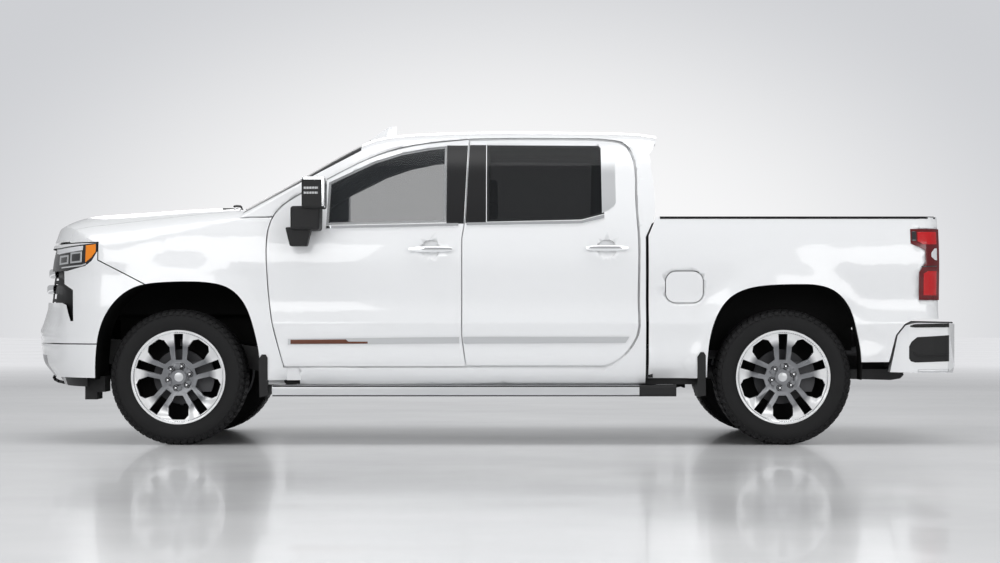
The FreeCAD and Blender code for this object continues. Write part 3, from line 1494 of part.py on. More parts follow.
def caliper(axle_x):
    # Brake caliper straddling the disc behind the axle
    disc_y = disc_start
    radius = size("disc_radius")
    clear = size("caliper_gap")
    wide = size("caliper_width")
    block = Part.makeCylinder(radius + wide, size("disc_thickness") + wide * 1.5, Vector(axle_x, disc_y - wide * 0.5, axle_z), Vector(0, 1, 0))
    hole = Part.makeCylinder(radius * 0.62, overrun, Vector(axle_x, disc_y - overrun / 2, axle_z), Vector(0, 1, 0))
    slot = Part.makeCylinder(radius + clear, size("disc_thickness") + clear * 2, Vector(axle_x, disc_y - clear, axle_z), Vector(0, 1, 0))
    block = block.cut([hole, slot])
    span = radius * 0.55
    keep = box_between(axle_x + radius * 0.4, axle_x + radius * 2, disc_y - overrun, disc_y + overrun, axle_z - span, axle_z + span)
    return block.common(keep)


disc_start = size("disc_offset") - wheel_half
add_pair("knuckle", make_knuckle())


def make_rear_axle():
    tube = size("axle_tube_radius")
    inner = disc_start + size("disc_thickness") + size("caliper_width") * 0.6
    pieces = [rod(Vector(rear_axle_x, -wheel_half - size("spindle_reach"), axle_z), Vector(rear_axle_x, wheel_half + size("spindle_reach"), axle_z), size("spindle_radius"))]
    pieces.append(rod(Vector(rear_axle_x, inner, axle_z), Vector(rear_axle_x, -inner, axle_z), tube))
    pieces.append(Part.makeSphere(size("differential_radius"), Vector(rear_axle_x, 0, axle_z)))
    for side in (-1, 1):
        bracket = caliper(rear_axle_x)
        plate = box_between(rear_axle_x, rear_axle_x + size("disc_radius"), inner, inner + tube / 2, axle_z - tube, axle_z + tube)
        piece = bracket.fuse(plate)
        pieces.append(piece if side < 0 else mirrored(piece))
        half = size("spring_half")
        reach = size("spring_reach")
        thick = size("spring_thickness")
        wide = size("spring_width") / 2
        base = axle_z + tube
        leaf = [(rear_axle_x - reach, base + thick * 4), (rear_axle_x, base - thick / 4), (rear_axle_x + reach, base + thick * 4)]
        leaf += [(rear_axle_x + reach, base + thick * 5), (rear_axle_x, base + thick), (rear_axle_x - reach, base + thick * 5)]
        y = side * half
        pieces.append(side_prism(leaf, y - wide, y + wide))
    return fused(pieces)


add_code("rear_axle", make_rear_axle())


gearbox_front_x = front_axle_x + size("engine_setback")


def make_driveline():
    level = axle_z + size("shaft_radius") * 2
    gearbox_x = gearbox_front_x
    end_x = gearbox_x + size("gearbox_length")
    half = size("gearbox_width") / 2
    low = size("gearbox_bottom")
    box = box_between(gearbox_x, end_x, -half, half, low, low + size("gearbox_height"))
    box = box.makeFillet(half / 3, box.Edges)
    rear = rear_axle_x - size("differential_radius") - size("fit_gap")
    shaft = rod(Vector(end_x - half / 2, 0, level), Vector(rear, 0, axle_z), size("shaft_radius"))
    return fused([box, shaft])


add_code("driveline", make_driveline())
block = doc.addObject("Part::Box", "engine_block")
block.Label = "engine_block"
block.setExpression("Length", "Sizes.engine_length")
block.setExpression("Width", "Sizes.engine_width")
block.setExpression("Height", "Sizes.engine_height")
block.Placement.Base = Vector(gearbox_front_x - size("engine_length") - size("fit_gap"), -size("engine_width") / 2, size("engine_bottom"))
nodes.append(block)


PIPE_SHARES = [(0.66, 0.0, 0.0), (0.89, 0.0, 0.62), (0.95, 0.0, 0.62), (0.992, 0.0, -0.10)]
PIPE_REAR_SHARES = [(0.306, 0.0, 0.0), (0.48, 0.0, 0.0), (0.86, 1.0, 0.06)]


def make_exhaust():
    # Down the right-hand side, over the axle and out behind the wheel
    radius = size("pipe_radius")
    half = size("pipe_half")
    level = size("pipe_height")
    rise = size("spring_half") - half * 1.64
    path = [Vector(gearbox_front_x, half, level)]
    span = rear_axle_x + size("disc_radius") - gearbox_front_x
    for along, out, up in PIPE_SHARES:
        path.append(Vector(gearbox_front_x + along * span, half, level + up * rise))
    inner = size("spring_half") + size("spring_width") * 1.17
    wide = size("rear_bumper_half") * 0.8 - inner
    for along, out, up in PIPE_REAR_SHARES:
        path.append(Vector(rear_axle_x + along * size("bed_tail"), inner + out * wide, level - radius / 3 + up * rise))
    pieces = [rod(a, b, radius) for a, b in zip(path, path[1:])]
    pieces += [Part.makeSphere(radius, p) for p in path[1:-1]]
    muffler_x = path[1].x - size("tank_length") * 0.9
    pieces.append(rod(Vector(muffler_x, half, level), path[1], size("muffler_radius")))
    hanger = size("rail_wall") * 0.6
    hanger_z = rail_base + size("rail_wall") + size("fit_gap") + hanger
    reach = size("rail_outer_half") - size("rail_width") / 2
    for share in (0.2, 0.8):
        x = muffler_x + share * (path[1].x - muffler_x)
        pieces.append(rod(Vector(x, half, hanger_z), Vector(x, reach, hanger_z), hanger))
    return fused(pieces)


add_code("exhaust", make_exhaust())
tank = doc.addObject("Part::Box", "fuel_tank")
tank.Label = "fuel_tank"
tank.setExpression("Length", "Sizes.tank_length")
tank.setExpression("Width", "Sizes.tank_width")
tank.setExpression("Height", "Sizes.tank_height")
tank_y = -size("rail_outer_half") - size("tank_width") - size("fit_gap")
tank.Placement.Base = Vector(rear_axle_x - size("tank_setback"), tank_y, size("tank_bottom"))
nodes.append(tank)
spare = doc.addObject("Part::Cylinder", "spare_wheel")
spare.Label = "spare_wheel"
spare.setExpression("Radius", "Sizes.spare_radius")
spare.setExpression("Height", "Sizes.spare_width")
spare.Placement.Base = Vector(rear_axle_x + size("spare_setback"), 0, rail_base - gap)
nodes.append(spare)


def make_boards():
    x_from = front_axle_x + size("board_front_setback")
    x_to = x_from + size("board_length")
    outer = size("board_outer_half")
    low = size("board_height")
    thick = size("board_thickness")
    board = box_between(x_from, x_to, -outer, size("board_width") - outer, low, low + thick)
    board = board.makeFillet(thick / 4, [e for e in board.Edges if e.BoundBox.XLength > overrun])
    pieces = [board]
    count = 3
    for index in range(count):
        x = x_from + (x_to - x_from) * (index + 0.5) / count
        foot = size("rail_width")
        top = rail_base + foot / 2
        inner = -size("rail_outer_half") - size("fit_gap")
        pieces.append(box_between(x, x + foot, -outer + thick, inner, low + thick / 2, low + thick))
        pieces.append(box_between(x, x + foot, inner - foot / 2, inner, low + thick / 2, top))
    return both_sides(fused(pieces))


add_code("running_boards", make_boards())


# Arch liners with the mud flaps behind the wheels
def make_liners():
    wall = size("liner_thickness")
    inner = size("liner_inner_half")
    shell = side_prism(front_arch(wall), -body_half, -inner).cut(side_prism(front_arch(), -far_y, 0))
    back = side_prism(front_arch(wall), -inner - wall, -inner)
    back_top = size("shock_height") + size("tower_thickness") * 2
    shell = shell.fuse(back.cut(box_between(nose_x, 0, -far_y, 0, 0, back_top)))
    low = box_between(nose_x, tail_x, -far_y, 0, 0, axle_z - wall * 2)
    front = shell.cut([low, front_bumper_blank]).common(clip_inner)
    flap_x = front_axle_x + size("front_arch_length") - size("fit_gap")
    flap_z = size("flap_bottom")
    outer = body_half - size("bumper_wall")
    flap = box_between(flap_x, flap_x + size("flap_thickness"), -outer, size("flap_width") - outer, flap_z, flap_z + size("flap_height"))
    front = front.fuse(flap)
    inner = size("bed_inner_half") + size("bed_wall") + size("fit_gap")
    shell = side_prism(rear_arch(wall), -body_half, -inner).cut(side_prism(rear_arch(), -far_y, 0))
    room = side_slab(bed_front_x - gap * 4, bed_rear_x + gap * 4, 30, size("bedside_wall"), overrun)
    rear = shell.cut(low).common(room)
    flap_x = rear_axle_x - size("rear_arch_length") - size("flap_thickness")
    flap = box_between(flap_x, flap_x + size("flap_thickness"), -outer, size("flap_width") - outer, flap_z, flap_z + size("flap_height"))
    rear = rear.fuse(flap)
    return both_sides(front), both_sides(rear)


front_liners, rear_liners = make_liners()
add_code("arch_liners", Part.makeCompound(front_liners.Solids + rear_liners.Solids))


# Seats: two in front, one bench behind
def seat(x, half_from, half_to):
    low = size("floor_height") + size("fit_gap")
    depth = size("seat_depth")
    cushion_z = size("seat_height") - size("seat_cushion")
    thick = size("backrest_thickness")
    lean = thick * 0.9
    base = box_between(x + thick / 2, x + depth - thick, half_from + thick / 2, half_to - thick / 2, low, cushion_z + gap)
    cushion = box_between(x, x + depth, half_from, half_to, cushion_z, size("seat_height"))
    cushion = cushion.makeFillet(thick / 4, cushion.Edges)
    top = size("seat_height") + size("backrest_height")
    outline = [(x + depth - thick, cushion_z), (x + depth, cushion_z), (x + depth + lean, top), (x + depth + lean - thick * 0.7, top)]
    back = side_prism(outline, half_from, half_to)
    back = back.makeFillet(thick / 5, back.Edges)
    rest_half = size("headrest_width") / 2
    middle = (half_from + half_to) / 2
    rest = box_between(x + depth + lean - thick * 0.75, x + depth + lean - gap, middle - rest_half, middle + rest_half, top - gap * 2, top + thick)
    rest = rest.makeFillet(thick / 5, rest.Edges)
    return fused([base, cushion, back, rest])


def make_seats():
    wide = size("seat_width") / 2
    mid = size("seat_half")
    x = front_axle_x + size("seat_setback")
    rear_x = front_axle_x + size("rear_seat_setback")
    front = [seat(x, side * mid - wide, side * mid + wide) for side in (-1, 1)]
    bench = [seat(rear_x, -mid - wide, 0), seat(rear_x, 0, mid + wide)]
    return Part.makeCompound(front + [fused(bench)])


add_code("seats", make_seats())


def make_dashboard():
    x = firewall_x + size("firewall_thickness") + size("fit_gap")
    half = body_half * FLANK_SHARES[4][1] - size("cab_wall") - gap * 6
    top = size("dash_height")
    depth = size("dash_depth")
    low = top - depth
    outline = [(x, low), (x + depth / 2, low), (x + depth, top - depth / 3), (x + depth * 0.9, top), (x, top)]
    dash = side_prism(outline, -half, half)
    dash = dash.makeFillet(depth / 12, [e for e in dash.Edges if e.BoundBox.YLength > overrun])
    console_half = size("headrest_width") / 2
    console = box_between(x + depth / 3, front_axle_x + size("seat_setback") + size("seat_depth"), -console_half, console_half, size("floor_height") + size("fit_gap"), size("seat_height"))
    wheel = steering_centre()
    axis = steering_axis()
    column = rod(wheel + axis * (size("steering_hub_depth") + size("fit_gap")), wheel + axis * depth, size("steering_rim_radius") * 1.5)
    return fused([dash, console, column])


def steering_axis():
    tilt = math.radians(size("steering_wheel_tilt"))
    return Vector(-math.cos(tilt), 0, -math.sin(tilt))


def steering_centre():
    return Vector(front_axle_x + size("steering_wheel_setback"), -size("seat_half"), size("steering_wheel_height"))


def make_steering_wheel():
    centre = steering_centre()
    axis = steering_axis()
    rim = Part.makeTorus(size("steering_wheel_radius"), size("steering_rim_radius"), centre, axis)
    hub = Part.makeCylinder(size("steering_rim_radius") * 4, size("steering_hub_depth"), centre, axis)
    spokes = []
    for turn in (0, 120, 240):
        spoke = rod(Vector(0, 0, 0), Vector(0, size("steering_wheel_radius"), 0), size("steering_rim_radius") * 0.7)
        spoke.rotate(Vector(0, 0, 0), Vector(1, 0, 0), turn + 90)
        spoke.rotate(Vector(0, 0, 0), Vector(0, 1, 0), -size("steering_wheel_tilt"))
        spoke.translate(centre + axis * size("steering_rim_radius"))
        spokes.append(spoke)
    return fused([rim, hub] + spokes)


add_code("dashboard", make_dashboard())
add_code("steering_wheel", make_steering_wheel())


# Wheels: revolved rim, hub and disc, with pockets between the spokes
def sketch_on(body, name, plane, lines, offset=0.0):
    sketch = body.newObject("Sketcher::SketchObject", name)
    for feature in body.Origin.OriginFeatures:
        if feature.Role == plane:
            sketch.AttachmentSupport = [(feature, "")]
    sketch.MapMode = "FlatFace"
    sketch.AttachmentOffset = Placement(Vector(0, 0, offset), Rotation())
    for points in lines:
        for a, b in zip(points, points[1:] + points[:1]):
            sketch.addGeometry(Part.LineSegment(Vector(a[0], a[1], 0), Vector(b[0], b[1], 0)), False)
    return sketch


def plane_axis(body, role):
    for feature in body.Origin.OriginFeatures:
        if feature.Role == role:
            return feature


def rim_profile():
    # Radius and place along the axle, outer face at the negative side
    half = size("rim_width") / 2
    lip = size("rim_lip")
    rim = size("rim_radius")
    seat_radius = size("rim_seat_radius")
    inner = seat_radius - size("rim_wall")
    face = size("wheel_face_inset") - half
    hub_face = face + size("wheel_dish")
    depth = size("wheel_face_depth")
    hub = size("hub_pad_radius")
    bore = size("spindle_radius") + size("spindle_gap")
    disc = size("disc_offset")
    step = size("wheel_step_radius")
    rise = size("wheel_step_depth")
    hub_back = disc + size("disc_thickness")
    return [
        (rim, -half), (rim, lip - half), (seat_radius, lip * 1.5 - half), (seat_radius, half - lip * 1.5),
        (rim, half - lip), (rim, half), (seat_radius, half), (inner, half - lip * 1.5),
        (inner, face + depth), (hub, hub_face + depth), (hub, disc), (size("disc_radius"), disc),
        (size("disc_radius"), hub_back), (bore, hub_back), (bore, hub_face + lip), (0, hub_face + lip),
        (0, hub_face), (hub, hub_face), (step, face + rise), (step + rise / 2, face), (inner, face),
        (seat_radius, -half),
    ]


def slot_points():
    wide = size("slot_half_width")
    low = size("hub_pad_radius") * 1.22
    high = size("rim_seat_radius") - size("rim_wall") * 2
    return [(-wide * 0.85, low), (wide * 0.85, low), (wide, high), (-wide, high)]


def window_points():
    low = size("hub_pad_radius") * 1.30
    high = size("rim_seat_radius") - size("rim_wall") * 2
    wide = size("slot_half_width") * 2.35
    corners = [(-wide * 0.42, low), (wide * 0.42, low), (wide, high * 0.72), (wide * 0.92, high * 0.88), (wide * 0.55, high * 0.98)]
    corners += [(-wide * 0.55, high * 0.98), (-wide * 0.92, high * 0.88), (-wide, high * 0.72)]
    angle = math.pi / size("spoke_pairs")
    turn = [(x * math.cos(angle) + z * math.sin(angle), -x * math.sin(angle) + z * math.cos(angle)) for x, z in corners]
    return turn


def make_wheel(label, x, side):
    body = doc.addObject("PartDesign::Body", label)
    body.Label = label
    profile = sketch_on(body, label + "_profile", "XY_Plane", [rim_profile()])
    revolve = body.newObject("PartDesign::Revolution", label + "_revolve")
    revolve.Profile = profile
    revolve.ReferenceAxis = (profile, ["V_Axis"])
    revolve.Angle = 360
    cuts = sketch_on(body, label + "_windows", "XZ_Plane", [slot_points(), window_points()])
    pocket = body.newObject("PartDesign::Pocket", label + "_pocket")
    pocket.Profile = cuts
    pocket.Reversed = True
    pocket.Length = size("rim_width")
    pattern = body.newObject("PartDesign::PolarPattern", label + "_spokes")
    pattern.Originals = [pocket]
    pattern.Axis = (plane_axis(body, "Y_Axis"), [""])
    pattern.Angle = 360
    pattern.Occurrences = int(size("spoke_pairs"))
    body.Tip = pattern
    doc.recompute()
    hub_face = size("wheel_face_inset") - size("rim_width") / 2 + size("wheel_dish")
    lug = sketch_on(body, label + "_lug", "XZ_Plane", [], -hub_face)
    circle_radius = size("lug_circle_radius")
    lug.addGeometry(Part.Circle(Vector(0, circle_radius, 0), Vector(0, 0, 1), size("lug_radius")), False)
    pad = body.newObject("PartDesign::Pad", label + "_lug_pad")
    pad.Profile = lug
    pad.Length = size("lug_height")
    lugs = body.newObject("PartDesign::PolarPattern", label + "_lugs")
    lugs.Originals = [pad]
    lugs.Axis = (plane_axis(body, "Y_Axis"), [""])
    lugs.Angle = 360
    lugs.Occurrences = int(size("lug_count"))
    body.Tip = lugs
    cap = sketch_on(body, label + "_cap", "XZ_Plane", [], -hub_face)
    cap.addGeometry(Part.Circle(Vector(0, 0, 0), Vector(0, 0, 1), size("cap_radius")), False)
    dome = body.newObject("PartDesign::Pad", label + "_cap_pad")
    dome.Profile = cap
    dome.Length = size("cap_height")
    body.Tip = dome
    turn = Rotation(Vector(0, 0, 1), 0 if side < 0 else 180)
    body.Placement = Placement(Vector(x, side * wheel_half, axle_z), turn)
    nodes.append(body)
    return body


def tyre_profile():
    radius = size("tyre_diameter") / 2
    half = size("tyre_width") / 2
    bead = size("rim_seat_radius") + size("fit_gap")
    flange = size("rim_width") / 2
    lip = size("rim_lip")
    shoulder = size("tyre_shoulder")
    rim = size("rim_radius") + size("fit_gap")
    side = [
        (bead, flange - lip * 1.5 - size("fit_gap") * 2), (rim, flange - lip - size("fit_gap")), (rim, flange + size("fit_gap")),
        (rim + shoulder / 2, half - shoulder / 5), (rim + shoulder * 1.6, half), (radius - shoulder, half - shoulder / 5),
        (radius - shoulder / 3, half - shoulder * 0.6), (radius, half - shoulder),
    ]
    groove = size("tread_groove_width")
    deep = radius - size("tread_groove_depth")
    places = [half * 0.42, 0]
    for place in places:
        side += [(radius, place + groove / 2), (deep, place + groove / 2)]
        if place:
            side += [(deep, place - groove / 2), (radius, place - groove / 2)]
    return [(r, -y) for r, y in side] + [(r, y) for r, y in reversed(side)]


def make_tyre(label, x, side):
    body = doc.addObject("PartDesign::Body", label)
    body.Label = label
    profile = sketch_on(body, label + "_profile", "XY_Plane", [tyre_profile()])
    revolve = body.newObject("PartDesign::Revolution", label + "_revolve")
    revolve.Profile = profile
    revolve.ReferenceAxis = (profile, ["V_Axis"])
    revolve.Angle = 360
    body.Tip = revolve
    body.Placement = Placement(Vector(x, side * wheel_half, axle_z), Rotation())
    nodes.append(body)


for place, x in (("front", front_axle_x), ("rear", rear_axle_x)):
    for hand, side in (("left", -1), ("right", 1)):
        make_wheel("wheel_%s_%s" % (place, hand), x, side)
        make_tyre("tyre_%s_%s" % (place, hand), x, side)

os.makedirs("parts", exist_ok=True)
doc.recompute()
for node in nodes:
    shape = node.Shape
    if shape.isNull() or not shape.isValid() or not shape.Solids:
        raise ValueError("bad shape: " + node.Label)
    shape.exportStep("parts/%s.step" % node.Label)
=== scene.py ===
# %% [markdown]
# # A white crew-cab pickup, dressed around its CAD frame
# The CAD model gives every panel, wheel and joint its real place. This lesson adds what a
# workshop would add last: paint, chrome, glass, tyre tread, lamps and small trim. Lengths
# are metres, X runs to the tail, Y to the right-hand side and Z up from the ground.
# %% Load the frame
import math
import bmesh
import bpy
from mathutils import Matrix, Vector
from mathutils.bvhtree import BVHTree


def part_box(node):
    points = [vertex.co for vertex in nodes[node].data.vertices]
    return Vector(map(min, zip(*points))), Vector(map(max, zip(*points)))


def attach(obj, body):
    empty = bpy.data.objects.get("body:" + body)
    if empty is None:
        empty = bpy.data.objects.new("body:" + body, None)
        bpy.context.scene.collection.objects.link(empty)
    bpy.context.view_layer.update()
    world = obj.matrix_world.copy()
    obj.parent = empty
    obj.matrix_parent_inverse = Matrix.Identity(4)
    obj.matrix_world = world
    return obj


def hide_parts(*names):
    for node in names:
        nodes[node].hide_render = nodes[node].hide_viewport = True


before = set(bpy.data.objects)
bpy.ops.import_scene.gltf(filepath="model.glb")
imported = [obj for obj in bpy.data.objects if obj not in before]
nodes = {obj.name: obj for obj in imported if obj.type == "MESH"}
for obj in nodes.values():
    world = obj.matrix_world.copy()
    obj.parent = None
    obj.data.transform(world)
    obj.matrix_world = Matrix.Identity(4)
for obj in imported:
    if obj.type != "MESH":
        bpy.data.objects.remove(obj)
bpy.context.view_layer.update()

# %% [markdown]
# ## A small language for materials
# A shader tree is easier to read as a formula. `Signal` wraps one output and turns + - * /
# into Math nodes. `Tree` holds one node tree and has a single method that makes any node,
# and `Finish` is the tree of one material.
# %% Shader helper


class Signal:
    def __init__(self, tree, socket):
        self.tree = tree
        self.socket = socket

    def _math(self, operation, first, second=None):
        inputs = {0: first} if second is None else {0: first, 1: second}
        return self.tree.node("ShaderNodeMath", {"operation": operation}, inputs)

    def __add__(self, other):
        return self._math("ADD", self, other)

    __radd__ = __add__

    def __mul__(self, other):
        return self._math("MULTIPLY", self, other)

    __rmul__ = __mul__

    def __sub__(self, other):
        return self._math("SUBTRACT", self, other)

    def __rsub__(self, other):
        return self._math("SUBTRACT", other, self)

    def __truediv__(self, other):
        return self._math("DIVIDE", self, other)

    def __rtruediv__(self, other):
        return self._math("DIVIDE", other, self)

    def sine(self):
        return self._math("SINE", self)

    def cosine(self):
        return self._math("COSINE", self)

    def most(self, other):
        return self._math("MAXIMUM", self, other)


class Tree:
    def __init__(self, node_tree):
        self.nodes = node_tree.nodes
        self.links = node_tree.links

    def join(self, value, socket):
        if isinstance(value, Signal):
            self.links.new(value.socket, socket)
        else:
            socket.default_value = value

    def node(self, kind, settings=None, inputs=None, output=0):
        made = self.nodes.new(kind)
        for key, value in (settings or {}).items():
            if key == "stops":
                made.color_ramp.interpolation = "EASE"
                for stop, (place, colour) in zip(made.color_ramp.elements, value):
                    stop.position = place
                    stop.color = colour
            else:
                setattr(made, key, value)
        for key, value in (inputs or {}).items():
            self.join(value, made.inputs[key])
        return Signal(self, made.outputs[output])


class Finish(Tree):
    def __init__(self, name, colour, roughness, metallic=0.0, **more):
        self.material = bpy.data.materials.new(name)
        self.material.use_nodes = True
        super().__init__(self.material.node_tree)
        self.shader = self.nodes["Principled BSDF"]
        self.feed("Base Color", (*colour, 1.0))
        self.feed("Roughness", roughness)
        self.feed("Metallic", metallic)
        for socket, value in more.items():
            self.feed(socket.replace("_", " "), value)

    def feed(self, socket, value):
        self.join(value, self.shader.inputs[socket])

    def place(self):
        return self.node("ShaderNodeTexCoord", output="Object")

    def noise(self, scale, detail=3.0):
        inputs = {"Vector": self.place(), "Scale": scale, "Detail": detail}
        return self.node("ShaderNodeTexNoise", {}, inputs)

    def split(self):
        where = self.place()
        return [self.node("ShaderNodeSeparateXYZ", {}, {0: where}, axis) for axis in range(3)]

    def clamp(self, value):
        return self.node("ShaderNodeClamp", {}, {0: value})

    def mix(self, share, first, second):
        inputs = {0: share, 6: (*first, 1.0), 7: (*second, 1.0)}
        return self.node("ShaderNodeMix", {"data_type": "RGBA"}, inputs, 2)

    def bump(self, height, strength, distance):
        inputs = {"Height": height, "Strength": strength, "Distance": distance}
        self.feed("Normal", self.node("ShaderNodeBump", {}, inputs))


print("shader helper ready")

# %% [markdown]
# ## Paint, chrome and plastic
# Car paint is a coloured base under clear lacquer, so the base is fairly rough and a smooth
# coat lies on top. Each finish gets a little dust or grain, since nothing real is even.
# %% Finishes


def dusty(finish, roughness, spread, scale):
    cloud = finish.noise(scale)
    finish.feed("Roughness", cloud * spread + (roughness - spread / 2))
    return finish


paint = Finish("white_paint", (0.80, 0.81, 0.82), 0.34, Coat_Weight=0.9, Coat_Roughness=0.04)
paint = dusty(paint, 0.34, 0.10, 2.5)
chrome = dusty(Finish("chrome", (0.86, 0.87, 0.88), 0.07, 1.0), 0.08, 0.06, 9.0)
silver = dusty(Finish("silver_strip", (0.56, 0.57, 0.58), 0.32, 0.55), 0.32, 0.06, 12.0)
bronze = dusty(Finish("bronze_insert", (0.115, 0.036, 0.018), 0.34, 0.3), 0.34, 0.08, 12.0)
machined = dusty(Finish("machined_alloy", (0.74, 0.75, 0.76), 0.20, 1.0), 0.20, 0.08, 20.0)
# Near-black alloy is painted shade for the deep inside of the wheels, where little light reaches
alloy_painted_shade = dusty(Finish("painted_shade_alloy", (0.022, 0.022, 0.023), 0.5, 0.3), 0.5, 0.12, 14.0)
alloy = dusty(Finish("painted_alloy", (0.23, 0.235, 0.245), 0.36, 0.75), 0.36, 0.10, 14.0)
gloss_black = dusty(Finish("gloss_black", (0.010, 0.010, 0.011), 0.10, Coat_Weight=0.4), 0.12, 0.06, 8.0)
frame_black = dusty(Finish("frame_paint", (0.018, 0.018, 0.019), 0.45), 0.45, 0.15, 6.0)
casting = dusty(Finish("casting", (0.10, 0.10, 0.105), 0.6, 0.7), 0.6, 0.15, 15.0)
steel = dusty(Finish("bare_steel", (0.20, 0.20, 0.205), 0.42, 0.9), 0.42, 0.15, 10.0)
# Steel darkened to near black for the brake disc: painted shade behind the spokes
brake_steel_painted_shade = dusty(Finish("brake_steel_painted_shade", (0.045, 0.045, 0.048), 0.5, 0.6), 0.5, 0.15, 10.0)
step_metal = dusty(Finish("step_metal", (0.62, 0.63, 0.64), 0.34, 0.7), 0.34, 0.10, 10.0)
plastic = Finish("grained_plastic", (0.012, 0.012, 0.0125), 0.55, Specular_IOR_Level=0.3)
plastic.bump(plastic.noise(900.0), 0.25, 0.0006)
soft_trim = Finish("soft_trim", (0.035, 0.033, 0.032), 0.6)
soft_trim.bump(soft_trim.noise(700.0), 0.3, 0.0006)
liner = Finish("bed_liner", (0.022, 0.022, 0.023), 0.75)
liner.bump(liner.noise(320.0), 0.6, 0.002)
rubber = Finish("tyre_rubber", (0.010, 0.010, 0.0105), 0.62, Specular_IOR_Level=0.2)
rubber.feed("Roughness", rubber.noise(6.0) * 0.2 + 0.5)
rubber.bump(rubber.noise(500.0), 0.2, 0.0006)
leather = Finish("seat_leather", (0.055, 0.042, 0.034), 0.45)
leather.bump(leather.noise(260.0), 0.35, 0.001)
clear_glass = Finish("clear_glass", (0.05, 0.055, 0.06), 0.03, Alpha=0.25, Specular_IOR_Level=0.2)
dark_glass = Finish("privacy_glass", (0.012, 0.013, 0.014), 0.03, Alpha=0.66, Specular_IOR_Level=0.2)
lamp_glass = Finish("lamp_glass", (0.62, 0.64, 0.66), 0.04, Alpha=0.45)
lamp_red = Finish("lamp_red", (0.11, 0.001, 0.003), 0.12, Coat_Weight=0.3)
lamp_white = Finish("lamp_white", (0.70, 0.71, 0.73), 0.10, Coat_Weight=0.6)
red_core = Finish("red_core", (0.50, 0.002, 0.005), 0.16, Coat_Weight=0.3)
dark_lens = Finish("dark_lens", (0.015, 0.015, 0.017), 0.05, Coat_Weight=0.8)
screen_glass = Finish("screen_glass", (0.06, 0.065, 0.07), 0.03, Alpha=0.50, Specular_IOR_Level=0.3)
satin_black = Finish("satin_black", (0.012, 0.012, 0.013), 0.30, Specular_IOR_Level=0.25)
skid_metal = dusty(Finish("skid_metal", (0.34, 0.34, 0.35), 0.25, 0.9), 0.25, 0.08, 12.0)
amber = Finish("amber", (0.86, 0.24, 0.005), 0.18, Coat_Weight=0.3)
# Near black, mostly painted shade on panel backs, sheets and shields; also the arch liners' own black
shade_black = Finish("liner_black_and_painted_shade", (0.006, 0.006, 0.006), 0.8, Specular_IOR_Level=0.1)
print("finishes:", len(bpy.data.materials))

# %% [markdown]
# ## Dress the CAD pieces
# The imported meshes come without finishes of our own, so each gets its material by name.
# Flat shading on smooth panels would show their facets, so the copies made further on are smoothed by
# angle.
# %% Give every CAD node its finish
node_finishes = {
    "frame_rails": frame_black, "cab_shell": paint, "cab_glass": screen_glass, "front_fenders": paint,
    "front_fascia": paint, "front_bumper": paint, "grille": chrome, "grille_mesh": plastic,
    "headlamps": lamp_glass, "engine_block": casting, "bed_tub": liner, "bedsides": paint,
    "tail_lamps": lamp_red, "rear_bumper": paint, "running_boards": step_metal,
    "front_suspension": casting, "rear_axle": casting, "driveline": casting, "exhaust": steel,
    "fuel_tank": plastic, "spare_wheel": rubber, "dashboard": soft_trim, "seats": leather,
    "arch_liners": shade_black, "hood": paint, "tailgate": paint, "fuel_door": paint,
    "steering_wheel": soft_trim, "radiator": gloss_black, "front_valance": plastic,
}
for hand in ("left", "right"):
    node_finishes["knuckle_" + hand] = casting
    node_finishes["mirror_" + hand] = gloss_black
    for place in ("front", "rear"):
        node_finishes["door_%s_%s" % (place, hand)] = paint
        node_finishes["door_trim_%s_%s" % (place, hand)] = chrome
        node_finishes["door_glass_%s_%s" % (place, hand)] = clear_glass if place == "front" else dark_glass
        node_finishes["wheel_%s_%s" % (place, hand)] = alloy
        node_finishes["tyre_%s_%s" % (place, hand)] = rubber


def give(mesh_object, finish):
    mesh_object.data.materials.clear()
    mesh_object.data.materials.append(finish.material)


for name, mesh_object in nodes.items():
    give(mesh_object, node_finishes[name])
print("dressed:", len(nodes))

# %% [markdown]
# ## Small mesh tools
# Most added pieces are turned, extruded or cut from a flat outline. These helpers gather
# points and faces for one piece, remember which finish each face takes, and hand over a
# plain mesh that rides on its CAD body.
# %% Mesh helpers
SMOOTH_ANGLE = math.radians(38)
PANEL_ANGLE = math.radians(22)


class Build:
    def __init__(self):
        self.points = []
        self.faces = []
        self.finishes = []
        self.marks = []

    def add(self, points, faces, finish, move=None):
        start = len(self.points)
        self.points += [tuple(move @ Vector(p)) if move else tuple(p) for p in points]
        self.faces += [tuple(start + i for i in face) for face in faces]
        if finish not in self.finishes:
            self.finishes.append(finish)
        self.marks += [self.finishes.index(finish)] * len(faces)
        return self

    def add_mesh(self, mesh, finish):
        points = [vertex.co for vertex in mesh.vertices]
        faces = [tuple(polygon.vertices) for polygon in mesh.polygons]
        return self.add(points, faces, finish)

    def mesh(self, name):
        mesh = bpy.data.meshes.new(name)
        mesh.from_pydata(self.points, [], self.faces)
        for finish in self.finishes:
            mesh.materials.append(finish.material)
        mesh.polygons.foreach_set("material_index", self.marks)
        work = bmesh.new()
        work.from_mesh(mesh)
        bmesh.ops.remove_doubles(work, verts=work.verts, dist=0.00002)
        bmesh.ops.recalc_face_normals(work, faces=work.faces)
        work.to_mesh(mesh)
        work.free()
        mesh.shade_smooth()
        mesh.set_sharp_from_angle(angle=SMOOTH_ANGLE)
        return mesh

    def piece(self, name, body, slot_name, replaced=()):
        return place_mesh(self.mesh(name), name, body, replaced)


def place_mesh(mesh, name, body, replaced=()):
    piece = bpy.data.objects.new(name, mesh)
    bpy.context.collection.objects.link(piece)
    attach(piece, body)
    if replaced:
        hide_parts(*replaced)
    return piece


